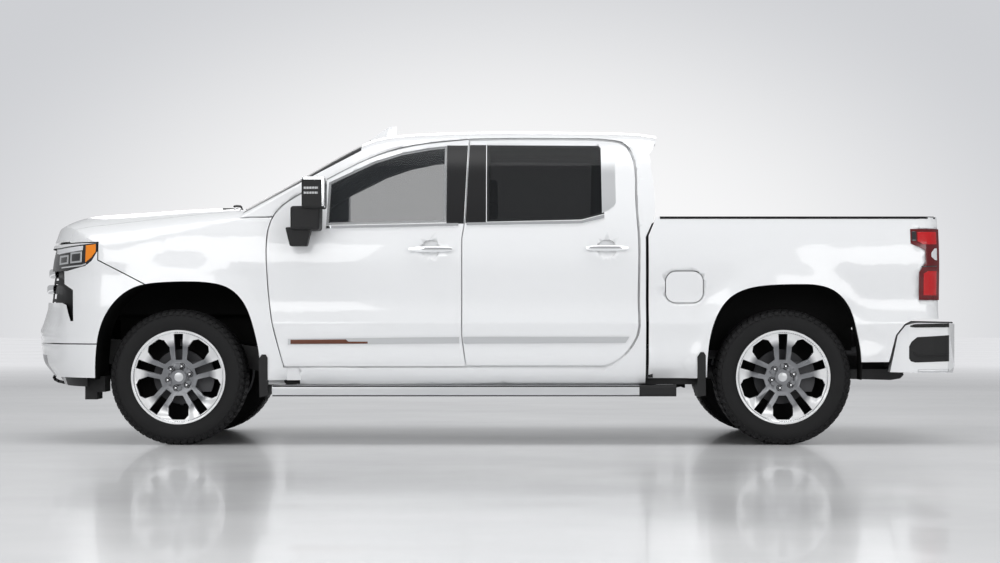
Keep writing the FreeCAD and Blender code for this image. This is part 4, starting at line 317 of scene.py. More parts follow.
def turned(profile, turns, closed=True):
    # A profile of (radius, place along Y) carried round the Y axis
    points = []
    for step in range(turns):
        angle = 2 * math.pi * step / turns
        points += [(r * math.cos(angle), y, r * math.sin(angle)) for r, y in profile]
    count = len(profile)
    faces = []
    for step in range(turns):
        here = step * count
        there = (step + 1) % turns * count
        for i in range(count if closed else count - 1):
            j = (i + 1) % count
            faces.append((here + i, here + j, there + j, there + i))
    return points, faces


def slab(outline, low, high):
    # A flat outline of (x, z) pairs carried along Y
    count = len(outline)
    points = [(x, low, z) for x, z in outline] + [(x, high, z) for x, z in outline]
    faces = [tuple(range(count)), tuple(range(2 * count - 1, count - 1, -1))]
    faces += [(i, (i + 1) % count, count + (i + 1) % count, count + i) for i in range(count)]
    return points, faces


def block(low, high):
    outline = [(low[0], low[2]), (high[0], low[2]), (high[0], high[2]), (low[0], high[2])]
    return slab(outline, low[1], high[1])

def skinned(points, sides):
    # Rings of points, one after the other, joined into a closed bar
    faces = []
    for start in range(0, len(points) - sides, sides):
        for side in range(sides):
            a = start + side
            b = start + (side + 1) % sides
            faces.append((a, b, b + sides, a + sides))
    last = len(points) - 1
    return faces + [tuple(range(sides)), tuple(range(last, last - sides, -1))]


print("helpers ready")

# %% [markdown]
# ## Tyre tread
# An all-terrain tyre is a smooth carcass with rings of separate blocks. A ring of blocks
# is a repeat, so Geometry Nodes makes it: points on a circle, a cube on each, turned to
# face outwards and skewed, then realised into one plain mesh.
# %% Ring of tread blocks
ring_inputs = {"Count": "Int", "Radius": "Float", "Along": "Float", "Start": "Float",
               "Size": "Vector", "Skew": "Float", "Tip": "Float", "Finish": "Material"}


def ring_tree():
    group = bpy.data.node_groups.new("ring of blocks", "GeometryNodeTree")
    face = group.interface
    face.new_socket("Geometry", in_out="OUTPUT", socket_type="NodeSocketGeometry")
    for name, kind in ring_inputs.items():
        face.new_socket(name, in_out="INPUT", socket_type="NodeSocket" + kind)
    tree = Tree(group)
    sources = group.nodes.new("NodeGroupInput").outputs
    given = {name: Signal(tree, sources[name]) for name in ring_inputs}
    points = tree.node("GeometryNodePoints", {}, {"Count": given["Count"]})
    turn = tree.node("GeometryNodeInputIndex") / given["Count"]
    angle = turn * (2 * math.pi) + given["Start"]
    across = angle.cosine() * given["Radius"]
    up = angle.sine() * given["Radius"]
    spot = tree.node("ShaderNodeCombineXYZ", {}, {0: across, 1: given["Along"], 2: up})
    placed = tree.node("GeometryNodeSetPosition", {}, {"Geometry": points, "Position": spot})
    cube = tree.node("GeometryNodeMeshCube", {}, {"Size": given["Size"]})
    lean = tree.node("ShaderNodeCombineXYZ", {}, {0: given["Skew"], 2: given["Tip"]})
    tilted = tree.node("GeometryNodeTransform", {}, {"Geometry": cube, "Rotation": lean})
    facing = tree.node("ShaderNodeCombineXYZ", {}, {1: angle * -1.0})
    inputs = {"Points": placed, "Instance": tilted, "Rotation": facing}
    spread = tree.node("GeometryNodeInstanceOnPoints", {}, inputs)
    real = tree.node("GeometryNodeRealizeInstances", {}, {0: spread})
    inputs = {"Geometry": real, "Material": given["Finish"]}
    finished = tree.node("GeometryNodeSetMaterial", {}, inputs)
    group.links.new(finished.socket, group.nodes.new("NodeGroupOutput").inputs[0])
    return group


blocks_tree = ring_tree()


def ring_mesh(finish, **sizes):
    holder = bpy.data.objects.new("ring", bpy.data.meshes.new("ring"))
    bpy.context.collection.objects.link(holder)
    modifier = holder.modifiers.new("ring", "NODES")
    modifier.node_group = blocks_tree
    values = dict(sizes, Finish=finish.material)
    for socket in blocks_tree.interface.items_tree:
        if socket.in_out == "INPUT":
            modifier[socket.identifier] = values[socket.name]
    bpy.context.view_layer.update()
    seen_by = bpy.context.evaluated_depsgraph_get()
    mesh = bpy.data.meshes.new_from_object(holder.evaluated_get(seen_by))
    holder.modifiers.remove(modifier)
    bpy.data.objects.remove(holder)
    return mesh


print("tread tree:", len(blocks_tree.nodes), "nodes")

# %% [markdown]
# ## Where the wheels stand
# All four wheels share one shape. So each place needs only a move: from the origin to the
# middle of its tyre, and half a turn for the right-hand side.
# %% Wheel places
tyre_low, tyre_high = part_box("tyre_front_left")
tyre_radius = (tyre_high.z - tyre_low.z) / 2
tyre_half = (tyre_high.y - tyre_low.y) / 2
wheel_names = [(place, hand) for place in ("front", "rear") for hand in ("left", "right")]
wheel_moves = {}
for place, hand in wheel_names:
    low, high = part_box("tyre_%s_%s" % (place, hand))
    centre = (low + high) / 2
    turn = Matrix.Rotation(math.pi if hand == "right" else 0, 4, "Z")
    wheel_moves[(place, hand)] = Matrix.Translation(centre) @ turn
print("tyre radius", round(tyre_radius, 4), "half width", round(tyre_half, 4))

# %% [markdown]
# ## Tyre carcass and its blocks
# The carcass is a section turned about the axle. Five rings of blocks cover the tread, each
# skewed its own way, and two rings lie on either shoulder, tipped to follow it.
# %% Tyre carcass and blocks
tread_depth = 0.010
tread_sink = 0.0005
shoulder_depth = 0.013
ring_count = 58
half_pitch = 0.03
shoulder_start = 0.055
carcass = [
    (0.2800, 0.0935), (0.2925, 0.1015), (0.2925, 0.1185), (0.2990, 0.1255), (0.3120, 0.1315),
    (0.3300, 0.1360), (0.3500, 0.1378), (0.3680, 0.1368), (0.3820, 0.1335), (0.3950, 0.1270),
    (0.4045, 0.1150), (0.4085, 0.1000), (0.4090, 0.0),
]
carcass = carcass + [(r, -y) for r, y in reversed(carcass[:-1])]
tyre_build = Build().add(*turned(carcass, 120), rubber)
block_radius = tyre_radius - tread_depth / 2 - tread_sink
# Place across the tyre, start angle, length, width and skew of each ring
tread_rows = (
    (0.0, 0.0, 0.034, 0.033, 0.45),
    (0.041, half_pitch, 0.036, 0.031, -0.35),
    (-0.041, half_pitch, 0.036, 0.031, 0.35),
    (0.081, 0.0, 0.034, 0.032, 0.25),
    (-0.081, 0.0, 0.034, 0.032, -0.25),
)
for along, start, length, width, skew in tread_rows:
    ring = ring_mesh(rubber, Count=ring_count, Radius=block_radius, Along=along, Start=start,
                     Size=(tread_depth, length, width), Skew=skew, Tip=0.0)
    tyre_build.add_mesh(ring, rubber)
# Place, start angle, length, width, radius and tip of each shoulder ring
shoulder_rows = (
    (0.1125, half_pitch, 0.030, 0.031, 0.4080, 0.42),
    (0.1275, shoulder_start, 0.026, 0.024, 0.3935, 1.02),
)
for side in (-1, 1):
    for along, start, length, width, radius, tip in shoulder_rows:
        ring = ring_mesh(rubber, Count=ring_count, Radius=radius, Along=side * along, Start=start,
                         Size=(shoulder_depth, length, width), Skew=0.0, Tip=side * tip)
        tyre_build.add_mesh(ring, rubber)
tyre_mesh = tyre_build.mesh("tyre")
for (place, hand), move in wheel_moves.items():
    own = tyre_mesh.copy()
    own.transform(move)
    body = "wheel_%s_%s" % (place, hand)
    place_mesh(own, "tyre_dress_%s_%s" % (place, hand), body, ["tyre_%s_%s" % (place, hand)])
print("tyre faces:", len(tyre_mesh.polygons))

# %% [markdown]
# ## Copies of the CAD meshes
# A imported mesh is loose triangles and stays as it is. A copy of it can be merged, smoothed
# by angle, cut along planes and given several finishes, each face by where it lies.
# %% Copy tools


def merged_copy(node, name, flatten=False):
    mesh = nodes[node].data.copy()
    mesh.name = name
    work = bmesh.new()
    work.from_mesh(mesh)
    bmesh.ops.remove_doubles(work, verts=work.verts, dist=0.00005)
    if flatten:
        bmesh.ops.dissolve_limit(work, angle_limit=math.radians(0.5), verts=work.verts, edges=work.edges)
    work.to_mesh(mesh)
    work.free()
    mesh.shade_smooth()
    mesh.set_sharp_from_angle(angle=SMOOTH_ANGLE if flatten else PANEL_ANGLE)
    return mesh


def even_shading(mesh):
    # Large faces lead the shading, so that slivers along a rim leave no blotches
    holder = bpy.data.objects.new("holder", mesh)
    bpy.context.collection.objects.link(holder)
    weights = holder.modifiers.new("weights", "WEIGHTED_NORMAL")
    weights.keep_sharp = True
    weights.weight = 80
    made = bpy.data.meshes.new_from_object(holder.evaluated_get(bpy.context.evaluated_depsgraph_get()))
    bpy.data.objects.remove(holder)
    return made


def refinish(mesh, rule, finishes):
    mesh.materials.clear()
    for finish in finishes:
        mesh.materials.append(finish.material)
    for polygon in mesh.polygons:
        polygon.material_index = finishes.index(rule(polygon))

def cut_along(mesh, planes):
    # New edges where each plane crosses the mesh, so that a finish can end on a clean line
    work = bmesh.new()
    work.from_mesh(mesh)
    for spot, normal in planes:
        parts = work.verts[:] + work.edges[:] + work.faces[:]
        bmesh.ops.bisect_plane(work, geom=parts, plane_co=spot, plane_no=normal)
    work.to_mesh(mesh)
    work.free()


print("copy tools ready")

# %% [markdown]
# ## Wheel finishes
# The CAD wheel already has its spokes, slots and windows. The outer ends of the spokes and
# the lip are cut bright on a lathe, while what lies a little deeper stays grey. Deeper still,
# behind the windows, the alloy and the brake disc's steel are near black: painted shade
# where little light reaches. The face fades to grey towards the hub by a formula on the radius.
# %% Wheel finishes
face_from = 0.190
face_to = 0.236


def wheel_face(name, axle):
    # Bright where the lathe has passed near the rim, painted grey towards the hub
    finish = Finish(name, (0.2, 0.2, 0.2), 0.3, 0.8)
    x, z = finish.split()[::2]
    across = x - axle.x
    up = z - axle.z
    square = across * across + up * up - face_from ** 2
    share = finish.clamp(square * (1 / (face_to ** 2 - face_from ** 2)))
    finish.feed("Base Color", finish.mix(share, (0.20, 0.205, 0.215), (0.76, 0.765, 0.77)))
    finish.feed("Roughness", 0.38 - share * 0.10)
    finish.feed("Metallic", 0.8 - share * 0.5)
    return finish


wheel_faces = {}
for place in ("front", "rear"):
    wheel_faces[place] = wheel_face("wheel_face_" + place, wheel_moves[(place, "left")].translation)

# Depths lie along the axle, from the tyre's middle, with the outside negative
disc_front = 0.012
disc_back = 0.050
disc_radius = 0.175
face_depth = -0.050
face_turn = -0.55
lip_depth = -0.085
lip_radius = 0.276
window_depth = -0.060
hub_radius = 0.100


def wheel_rule(move, face_finish):
    back = move.inverted()
    turn = back.to_3x3()

    def rule(polygon):
        centre = back @ polygon.center
        normal = turn @ polygon.normal
        radius = math.hypot(centre.x, centre.z)
        # The disc takes steel darkened to near black, painted shade behind the spokes
        if disc_front < centre.y < disc_back and radius < disc_radius:
            return brake_steel_painted_shade
        if normal.y < face_turn and centre.y < face_depth:
            return face_finish
        if radius > lip_radius and centre.y < lip_depth:
            return machined
        # Deep faces behind the windows take near-black alloy, painted shade
        return alloy if centre.y < window_depth or radius < hub_radius else alloy_painted_shade

    return rule


print("wheel faces:", list(wheel_faces))

# %% [markdown]
# ## Hub cap and nuts
# A plain domed cap closes the hub. Six nuts stand in wells round it, each with the bright
# end of its stud; the black rings of the wells are painted shade. They are short turned
# profiles, so one lathe helper makes them all.
# %% Cap and nuts
hub_face = -0.0745
cap_radius = 0.0455
cap_flat = 0.020
cap_rise = 0.0175
well_radius = 0.020
well_rise = 0.003
nut_radius = 0.0125
nut_end = 0.006
nut_rise = 0.0255
stud_end = 0.0025
stud_rise = 0.0305
stud_circle = 0.06985
stud_count = 6
first_stud = 15


def over_hub(rows):
    # Pairs of radius and rise over the hub's face, as a profile for the lathe
    return [(radius, hub_face - rise) for radius, rise in rows]


def disc(radius, rise, count):
    angles = [2 * math.pi * step / count for step in range(count)]
    points = [(radius * math.cos(a), hub_face - rise, radius * math.sin(a)) for a in angles]
    return points, [tuple(range(count))]


def cap_and_nuts():
    dome = over_hub([(cap_flat, cap_rise), (0.034, 0.014), (0.042, 0.008), (cap_radius, 0.0),
                     (cap_radius, -0.004)])
    well = over_hub([(well_radius, 0.0005), (well_radius, well_rise), (0.0165, well_rise),
                     (0.0165, 0.0005)])
    nut = over_hub([(nut_radius, 0.0), (nut_radius, 0.020), (0.0105, 0.024), (nut_end, nut_rise)])
    tip = over_hub([(nut_end, nut_rise), (0.0055, 0.029), (stud_end, stud_rise)])
    made = Build()
    made.add(*turned(dome, 48, closed=False), silver)
    made.add(*disc(cap_flat, cap_rise, 48), silver)
    for index in range(stud_count):
        angle = math.radians(first_stud + 360 / stud_count * index)
        spot = Matrix.Translation((stud_circle * math.cos(angle), 0, stud_circle * math.sin(angle)))
        # A black ring round the nut: painted shade of its well
        made.add(*turned(well, 24), gloss_black, spot)
        made.add(*turned(nut, 6, closed=False), gloss_black, spot)
        made.add(*turned(tip, 16, closed=False), chrome, spot)
        made.add(*disc(stud_end, stud_rise, 16), chrome, spot)
    return made.mesh("cap and nuts")


nuts_mesh = cap_and_nuts()
print("cap and nuts:", len(nuts_mesh.polygons), "faces")

# %% [markdown]
# ## Wider windows, and the wheels in place
# On a lightened casting the windows reach far out to the rim and far in to the hub. The
# points of the copy are drawn along the spokes, which leaves the spokes' width alone. A
# thin near-black dust shield closes the view behind each disc, its black painted shade; it
# stays with what carries the wheel.
# %% Wheels in place
rim_pull = 0.016
rim_rise = (0.200, 0.235)
rim_fall = (0.252, 0.280)
hub_pull = 0.012
hub_rise = (0.095, 0.120)
hub_fall = (0.135, 0.170)
still_radius = 0.09
shield_profile = [(0.085, 0.056), (0.270, 0.056), (0.270, 0.059), (0.085, 0.059)]


def step_up(value, low, high):
    # A soft step from 0 to 1
    share = min(1.0, max(0.0, (value - low) / (high - low)))
    return share * share * (3 - 2 * share)


def open_windows(mesh, move):
    back = move.inverted()
    for vertex in mesh.vertices:
        spot = back @ vertex.co
        radius = math.hypot(spot.x, spot.z)
        if radius < still_radius or spot.y > 0.0:
            continue
        outwards = rim_pull * step_up(radius, *rim_rise) * (1 - step_up(radius, *rim_fall))
        inwards = hub_pull * step_up(radius, *hub_rise) * (1 - step_up(radius, *hub_fall))
        scale = (radius + outwards - inwards) / radius
        vertex.co = move @ Vector((spot.x * scale, spot.y, spot.z * scale))


for (place, hand), move in wheel_moves.items():
    node = "wheel_%s_%s" % (place, hand)
    face_finish = wheel_faces[place]
    wheel = merged_copy(node, "wheel dress", flatten=True)
    open_windows(wheel, move)
    refinish(wheel, wheel_rule(move, face_finish), [alloy, alloy_painted_shade, machined, brake_steel_painted_shade, face_finish])
    place_mesh(wheel, "wheel_dress_%s_%s" % (place, hand), node, [node])
    nuts = nuts_mesh.copy()
    nuts.transform(move)
    place_mesh(nuts, "wheel_nuts_%s_%s" % (place, hand), node)
    # A near-black shield, painted shade behind the disc
    shield = Build().add(*turned(shield_profile, 64), shade_black, move)
    carrier = "knuckle_" + hand if place == "front" else "truck"
    shield.piece("dust_shield_%s_%s" % (place, hand), carrier, "black_plastic")
print("wheels dressed:", len(wheel_moves))

# %% [markdown]
# ## Inside faces and trim strips
# A panel is one closed solid, so paint would also cover its inner side. Faces that look
# towards the middle of the cabin take dark trim instead, and the backs and undersides of
# the outer panels are nearly black: painted shade where little light reaches. Each face is
# chosen by where it lies and which way it looks.
# %% Backs of the panels
cabin_middle = Vector((-0.15, 0.0, 1.22))
cabin_floor = 0.56
cabin_top = 1.963
cabin_front = -1.44
inward_share = 0.12


def looks_inwards(polygon):
    # The roof fin stands above the cabin's top and keeps its paint
    centre = polygon.center
    if centre.z < cabin_floor or centre.z > cabin_top or centre.x < cabin_front:
        return False
    towards = (cabin_middle - centre).normalized()
    return polygon.normal.dot(towards) > inward_share


def redress(node, rule, finishes, body="truck"):
    mesh = merged_copy(node, node + " dress")
    refinish(mesh, rule, finishes)
    return place_mesh(even_shading(mesh), node + "_dress", body, [node])

middle_band = 0.25
back_turn = -0.35
under_turn = -0.80


def painted_shade_side(face):
    # Backs of the outer panels: they look at the middle of the truck or at the ground, and take painted
    # shade
    side = -1 if face.center.y < 0 else 1
    if abs(face.center.y) > middle_band and face.normal.y * side < back_turn:
        return True
    return face.normal.z < under_turn


def panel_back(face):
    return shade_black if painted_shade_side(face) else paint


for node in ("front_fenders", "bedsides"):
    redress(node, panel_back, [paint, shade_black])

print("outer panels dressed")

# %% [markdown]
# ## Cab shell and doors
# The shell is painted outside and dark inside. Beside the windscreen runs a black strip,
# so the copy is first cut along the strip's edges.
# %% Cab shell and doors
screen_low = Vector((-1.253, 0, 1.582))
screen_slope = Vector((-0.552, 0, 1)).normalized()
strip_front = -1.56
strip_rear = -0.79


def shell_rule(face):
    if looks_inwards(face):
        return soft_trim
    before = (face.center - screen_low).dot(screen_slope) > 0
    return satin_black if before and strip_front < face.center.x < strip_rear else paint


def door_rule(face):
    return soft_trim if looks_inwards(face) else paint


shell = merged_copy("cab_shell", "cab shell dress")
cut_along(shell, [(screen_low, screen_slope), (Vector((strip_rear, 0, 0)), Vector((1, 0, 0)))])
refinish(shell, shell_rule, [paint, soft_trim, satin_black])
place_mesh(even_shading(shell), "cab_shell_dress", "truck", ["cab_shell"])
for place, hand in wheel_names:
    body = "door_%s_%s" % (place, hand)
    redress(body, door_rule, [paint, soft_trim], body)
print("panels dressed inside and out")

# %% [markdown]
# ## Plates that follow the side
# The side of a truck curves both ways, so a flat plate would sink in or stand off. A ray
# sent sideways finds the skin, and a patch of small faces is laid on those hits with a
# rounded rim. The same patch is mirrored for the other side.
# %% Skin finder and patches
skin_trees = {}
RIM_SHARE = 0.35


def skin_tree(names):
    key = tuple(names)
    if key not in skin_trees:
        points, faces = [], []
        for name in names:
            mesh = nodes[name].data
            start = len(points)
            points += [vertex.co.copy() for vertex in mesh.vertices]
            faces += [[start + i for i in polygon.vertices] for polygon in mesh.polygons]
        skin_trees[key] = BVHTree.FromPolygons(points, faces)
    return skin_trees[key]


def skin_y(names, x, z):
    tree = skin_tree(names)
    hit = tree.ray_cast(Vector((x, -3.0, z)), Vector((0, 1, 0)))
    return hit[0].y if hit[0] else tree.find_nearest(Vector((x, -1.0, z)))[0].y


def between(value, table):
    # Straight reading between the rows of a table of (place, value)
    for (a, first), (b, second) in zip(table, table[1:]):
        if value <= b:
            share = 0 if b == a else max(0.0, (value - a) / (b - a))
            return first + share * (second - first)
    return table[-1][1]


def patch(names, low_line, high_line, proud, finish, step=0.02, rim=0.003, depth=0.002,
          build=None, upright=False):
    # low_line and high_line give the lower and upper edge over X, or the front and rear
    # edge over Z where the patch is upright; the plate lies on the skin
    x_from = max(low_line[0][0], high_line[0][0])
    x_to = min(low_line[-1][0], high_line[-1][0])
    stops = {x_from, x_from + rim, x_to - rim, x_to}
    stops |= {x for x, z in low_line + high_line if x_from < x < x_to}
    count = max(1, int((x_to - x_from) / step))
    stops |= {x_from + (x_to - x_from) * i / count for i in range(count + 1)}
    across = sorted(stops)
    heights = [between(x, high_line) - between(x, low_line) for x in across]
    rows = max(1, int(max(heights) / step))
    shares = [0.0, 0.0] + [i / rows for i in range(1, rows)] + [1.0, 1.0]
    points = []
    for column, x in enumerate(across):
        low = between(x, low_line)
        high = between(x, high_line)
        edge = min(rim, (high - low) / 3)
        for row, share in enumerate(shares):
            z = low + (high - low) * share
            if row == 1:
                z = low + edge
            if row == len(shares) - 2:
                z = high - edge
            spot_x, spot_z = (z, x) if upright else (x, z)
            y = skin_y(names, spot_x, spot_z)
            outside = row in (0, len(shares) - 1) or column in (0, len(across) - 1)
            points.append((spot_x, y - (proud * RIM_SHARE if outside else proud), spot_z))
    size = len(shares)
    front = len(points)
    points += [(x, y + proud + depth, z) for x, y, z in points]
    faces = []
    for column in range(len(across) - 1):
        for row in range(size - 1):
            a = column * size + row
            faces.append((a, a + size, a + size + 1, a + 1))
            faces.append((front + a, front + a + 1, front + a + size + 1, front + a + size))
    ring = list(range(size)) + [column * size + size - 1 for column in range(1, len(across))]
    ring += [(len(across) - 1) * size + row for row in range(size - 2, -1, -1)]
    ring += [column * size for column in range(len(across) - 2, 0, -1)]
    for a, b in zip(ring, ring[1:] + ring[:1]):
        faces.append((a, b, front + b, front + a))
    build = build or Build()
    return build.add(points, faces, finish)

def marks(names, rows, build, **sizes):
    # Each row: lower edge, upper edge, how far the plate stands out, finish
    for low_line, high_line, proud, finish in rows:
        patch(names, low_line, high_line, proud, finish, build=build, **sizes)
    return build


def both_hands(build, name, body):
    # body may hold a %s for the hand
    mesh = build.mesh(name)
    place_mesh(mesh, name + "_left", body % "left" if "%s" in body else body)
    other = mesh.copy()
    other.transform(Matrix.Scale(-1, 4, Vector((0, 1, 0))))
    other.flip_normals()
    place_mesh(other, name + "_right", body % "right" if "%s" in body else body)


print("patch tools ready")

# %% [markdown]
# ## Door pillars and window trim
# A gloss black cover hides the pillar between the doors, so the side glass reads as one
# dark band. Behind the rear glass sits a bright quarter cover.
# %% Pillar covers
front_skin = ["door_front_left", "door_glass_front_left"]
rear_skin = ["door_rear_left", "door_glass_rear_left"]
cover_proud = 0.0025
front_edge = [(1.3705, -0.250), (1.872, -0.250)]
rear_edge = [(1.3705, -0.1425), (1.872, -0.1185)]
cover = patch(front_skin, front_edge, rear_edge, cover_proud, satin_black, upright=True)
both_hands(cover, "pillar_cover_front", "door_front_%s")
front_edge = [(1.3745, -0.1315), (1.875, -0.1075)]
rear_edge = [(1.3745, -0.004), (1.875, -0.004)]
cover = patch(rear_skin, front_edge, rear_edge, cover_proud, satin_black, upright=True)
both_hands(cover, "pillar_cover_rear", "door_rear_%s")
lower = [(0.716, 1.437), (0.762, 1.456), (0.789, 1.478), (0.803, 1.503)]
upper = [(0.716, 1.858), (0.770, 1.852), (0.790, 1.830), (0.803, 1.800)]
quarter = patch(rear_skin, lower, upper, cover_proud, silver, step=0.012)
both_hands(quarter, "quarter_cover", "door_rear_%s")
lower = [(-1.212, 0.6245), (-0.760, 0.6265), (-0.735, 0.6275)]
upper = [(-1.212, 0.651), (-0.870, 0.6535), (-0.855, 0.640), (-0.735, 0.640)]
insert = patch(["door_trim_front_left"], lower, upper, 0.0010, bronze, depth=0.001)
both_hands(insert, "moulding_insert", "door_front_%s")
print("pillar covers and moulding inserts laid")

# %% [markdown]
# ## Wipers
# Two arms rest at the foot of the windscreen. A ray sent down finds what lies under each
# point of an arm, so the bar follows the glass. A small block stands for the pivot.
# %% Wipers
arm_half = 0.007
arm_height = 0.012
arm_steps = 12
arm_corners = ((-arm_half, 0, 0), (0, -arm_half, arm_half), (arm_half, 0, 0), (0, arm_half, -arm_half))


def glass_top(x, y):
    tree = skin_tree(["cab_glass", "cab_shell", "hood"])
    return tree.ray_cast(Vector((x, y, 3.0)), Vector((0, 0, -1)))[0].z


wipers = Build()
for start, end in (((-1.60, -0.66), (-1.50, -0.04)), ((-1.60, 0.06), (-1.50, 0.66))):
    arm = []
    for step in range(arm_steps + 1):
        share = step / arm_steps
        x = start[0] + (end[0] - start[0]) * share
        y = start[1] + (end[1] - start[1]) * share
        arm.append(Vector((x, y, glass_top(x, y) + arm_height)))
    points = [spot + Vector(corner) for spot in arm for corner in arm_corners]
    wipers.add(points, skinned(points, 4), plastic)
    low = (start[0] - 0.070, start[1] - 0.03, arm[0].z - 0.045)
    high = (start[0] + 0.005, start[1] + 0.03, arm[0].z - 0.012)
    wipers.add(*block(low, high), plastic)
wipers.piece("wipers", "truck", "black_plastic")
print("wipers at", [round(v, 3) for v in arm[0]])

# %% [markdown]
# ## Head lamps and grille
# The lamp housing is black. On it lie a bright daytime strip along the top, two square
# projectors, a thin lower strip and the amber marker that wraps to the side.
# %% Head lamps
give(nodes["headlamps"], gloss_black)
fine = dict(step=0.008, rim=0.002, depth=0.0015)
lamp_proud = 0.0030
frame_proud = 0.0022
lens_proud = 0.0036
lens_edge = 0.010
lamp_rows = [
    ([(-2.722, 1.190), (-2.700, 1.186), (-2.512, 1.207)],
     [(-2.722, 1.217), (-2.700, 1.217), (-2.505, 1.236)], lamp_proud, lamp_white),
    ([(-2.492, 1.130), (-2.450, 1.162), (-2.424, 1.196)],
     [(-2.492, 1.237), (-2.424, 1.243)], lamp_proud, amber),
]
for x_from, x_to, low, high in ((-2.690, -2.616, 1.118, 1.174), (-2.602, -2.518, 1.126, 1.194)):
    lower = [(x_from, low), (x_to, low + 0.006)]
    upper = [(x_from, high), (x_to, high + 0.006)]
    lamp_rows.append((lower, upper, frame_proud, silver))
    lower = [(x_from + lens_edge, low + lens_edge), (x_to - lens_edge, low + lens_edge + 0.005)]
    upper = [(x_from + lens_edge, high - lens_edge), (x_to - lens_edge, high - lens_edge + 0.005)]
    lamp_rows.append((lower, upper, lens_proud, dark_lens))
lower = [(-2.672, 1.096), (-2.520, 1.108), (-2.488, 1.118)]
upper = [(-2.672, 1.104), (-2.520, 1.117), (-2.488, 1.126)]
lamp_rows.append((lower, upper, lamp_proud, chrome))
lights = marks(["headlamps"], lamp_rows, Build(), **fine)
both_hands(lights, "lamp_lights", "truck")
print("lamp faces:", len(lights.faces))

# %% [markdown]
# ## Grille bars
# Two heavy chrome bars cross the nose and wrap round its corners. Their line is read from
# the CAD bars with rays sent in from all round, then swept with a rounded section.
# %% Bars swept round the nose
bar_levels = (1.068, 0.966)
bar_height = 0.058
bar_depth = 0.046
bar_reach = 47
bar_margin = 0.012
bar_sides = 16
bar_squareness = 0.55


def nose_line(z, inset, reach_degrees, count=61):
    tree = skin_tree(["grille"])
    middle = Vector((-2.10, 0, z))
    line = []
    for step in range(count):
        angle = math.radians(-reach_degrees + 2 * reach_degrees * step / (count - 1))
        away = Vector((-math.cos(angle), math.sin(angle), 0))
        hit = tree.ray_cast(middle + away * 2, -away)
        if hit[0]:
            line.append(hit[0] - away * inset)
    return line

def swept(line, height, depth, finish, build):
    # A square section with rounded corners, carried along a level line
    section = []
    for step in range(bar_sides):
        angle = 2 * math.pi * step / bar_sides
        c = math.cos(angle)
        s = math.sin(angle)
        section.append((math.copysign(abs(c) ** bar_squareness, c) * depth / 2,
                        math.copysign(abs(s) ** bar_squareness, s) * height / 2))
    points = []
    for index, spot in enumerate(line):
        ahead = line[min(index + 1, len(line) - 1)] - line[max(index - 1, 0)]
        out = Vector((ahead.y, -ahead.x, 0)).normalized()
        points += [spot + out * a + Vector((0, 0, b)) for a, b in section]
    return build.add(points, skinned(points, bar_sides), finish)


bars = Build()
grille_low, grille_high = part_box("grille")
for z in bar_levels:
    level = min(max(z, grille_low.z + bar_margin), grille_high.z - bar_margin)
    line = nose_line(level, bar_depth, bar_reach)
    for spot in line:
        spot.z = z
    swept(line, bar_height, bar_depth, chrome, bars)
bars.piece("grille_bars", "truck", "chrome", ["grille"])
print("grille bar faces:", len(bars.faces))

# %% [markdown]
# ## Nose panels
# From its ledge upwards the painted bumper steps back, and towards the corners it draws in.
# The copy is cut at close levels, and its points are moved back by a table of heights, in
# full at the corners and by less than a third in the middle.
# %% Nose panels
nose_steps = [
    (0.42, 0.0), (0.487, 0.008), (0.56, 0.026), (0.62, 0.038), (0.668, 0.036), (0.690, 0.026),
    (0.715, 0.028), (0.742, 0.042), (0.78, 0.046), (0.83, 0.040), (0.89, 0.022), (0.95, 0.0),
]
middle_share = 0.30
middle_reach = (0.05, 0.42)
nose_reach = (2.60, 2.76)
nose_front = -2.90
inner_turn = 0.30
skid_top = 0.550
skid_half = 0.62
nose_cuts = [((0, 0, 0.43 + 0.02 * i), (0, 0, 1)) for i in range(26)]
nose_cuts += [((0, y, 0), (0, 1, 0)) for y in (-skid_half, skid_half)]


def ease_nose(mesh):
    cut_along(mesh, nose_cuts)
    for vertex in mesh.vertices:
        x, y, z = vertex.co
        share = middle_share + (1 - middle_share) * step_up(abs(y), *middle_reach)
        vertex.co.x += between(z, nose_steps) * share * step_up(-x, *nose_reach)
    mesh.update()


def nose_rule(face):
    # The inside of the nose and the panels' backs and undersides take near black: painted shade
    inner = face.center.x > nose_front and face.normal.x > inner_turn
    if inner or painted_shade_side(face):
        return shade_black
    return skid_metal if face.center.z < skid_top and abs(face.center.y) < skid_half else paint


for node in ("front_fascia", "front_bumper"):
    mesh = merged_copy(node, node + " dress")
    ease_nose(mesh)
    refinish(mesh, nose_rule, [paint, shade_black, skid_metal])
    place_mesh(even_shading(mesh), node + "_dress", "truck", [node])
print("nose panels eased")

# %% [markdown]
# ## Rear bumper and front lip
# The top of the rear bumper is pressed down towards its ledge. Under the nose, the lip is
# bright metal in front and black plastic further back.
# %% Rear bumper and front lip
ledge = 0.742
ledge_share = 0.45
lip_back = -2.66
bumper_mesh = merged_copy("rear_bumper", "rear bumper dress")
for vertex in bumper_mesh.vertices:
    if vertex.co.z > ledge:
        vertex.co.z = ledge + (vertex.co.z - ledge) * ledge_share
# Its backs and underside take near black as painted shade, as on the other panels
refinish(bumper_mesh, panel_back, [paint, shade_black])
bumper_top = max(vertex.co.z for vertex in bumper_mesh.vertices)
place_mesh(even_shading(bumper_mesh), "rear_bumper_dress", "truck", ["rear_bumper"])


def lip_rule(face):
    return skid_metal if face.center.x < lip_back else plastic


redress("front_valance", lip_rule, [skid_metal, plastic])
print("rear bumper top at", round(bumper_top, 3))

# %% [markdown]
# ## Air dam and shades
# Black blocks under the nose guide the air past the tyres. Thin near-black sheets stand
# between the wheel wells and the frame, where a real truck has splash panels, and stop the
# daylight; their black is painted shade.
# %% Air dam and shades


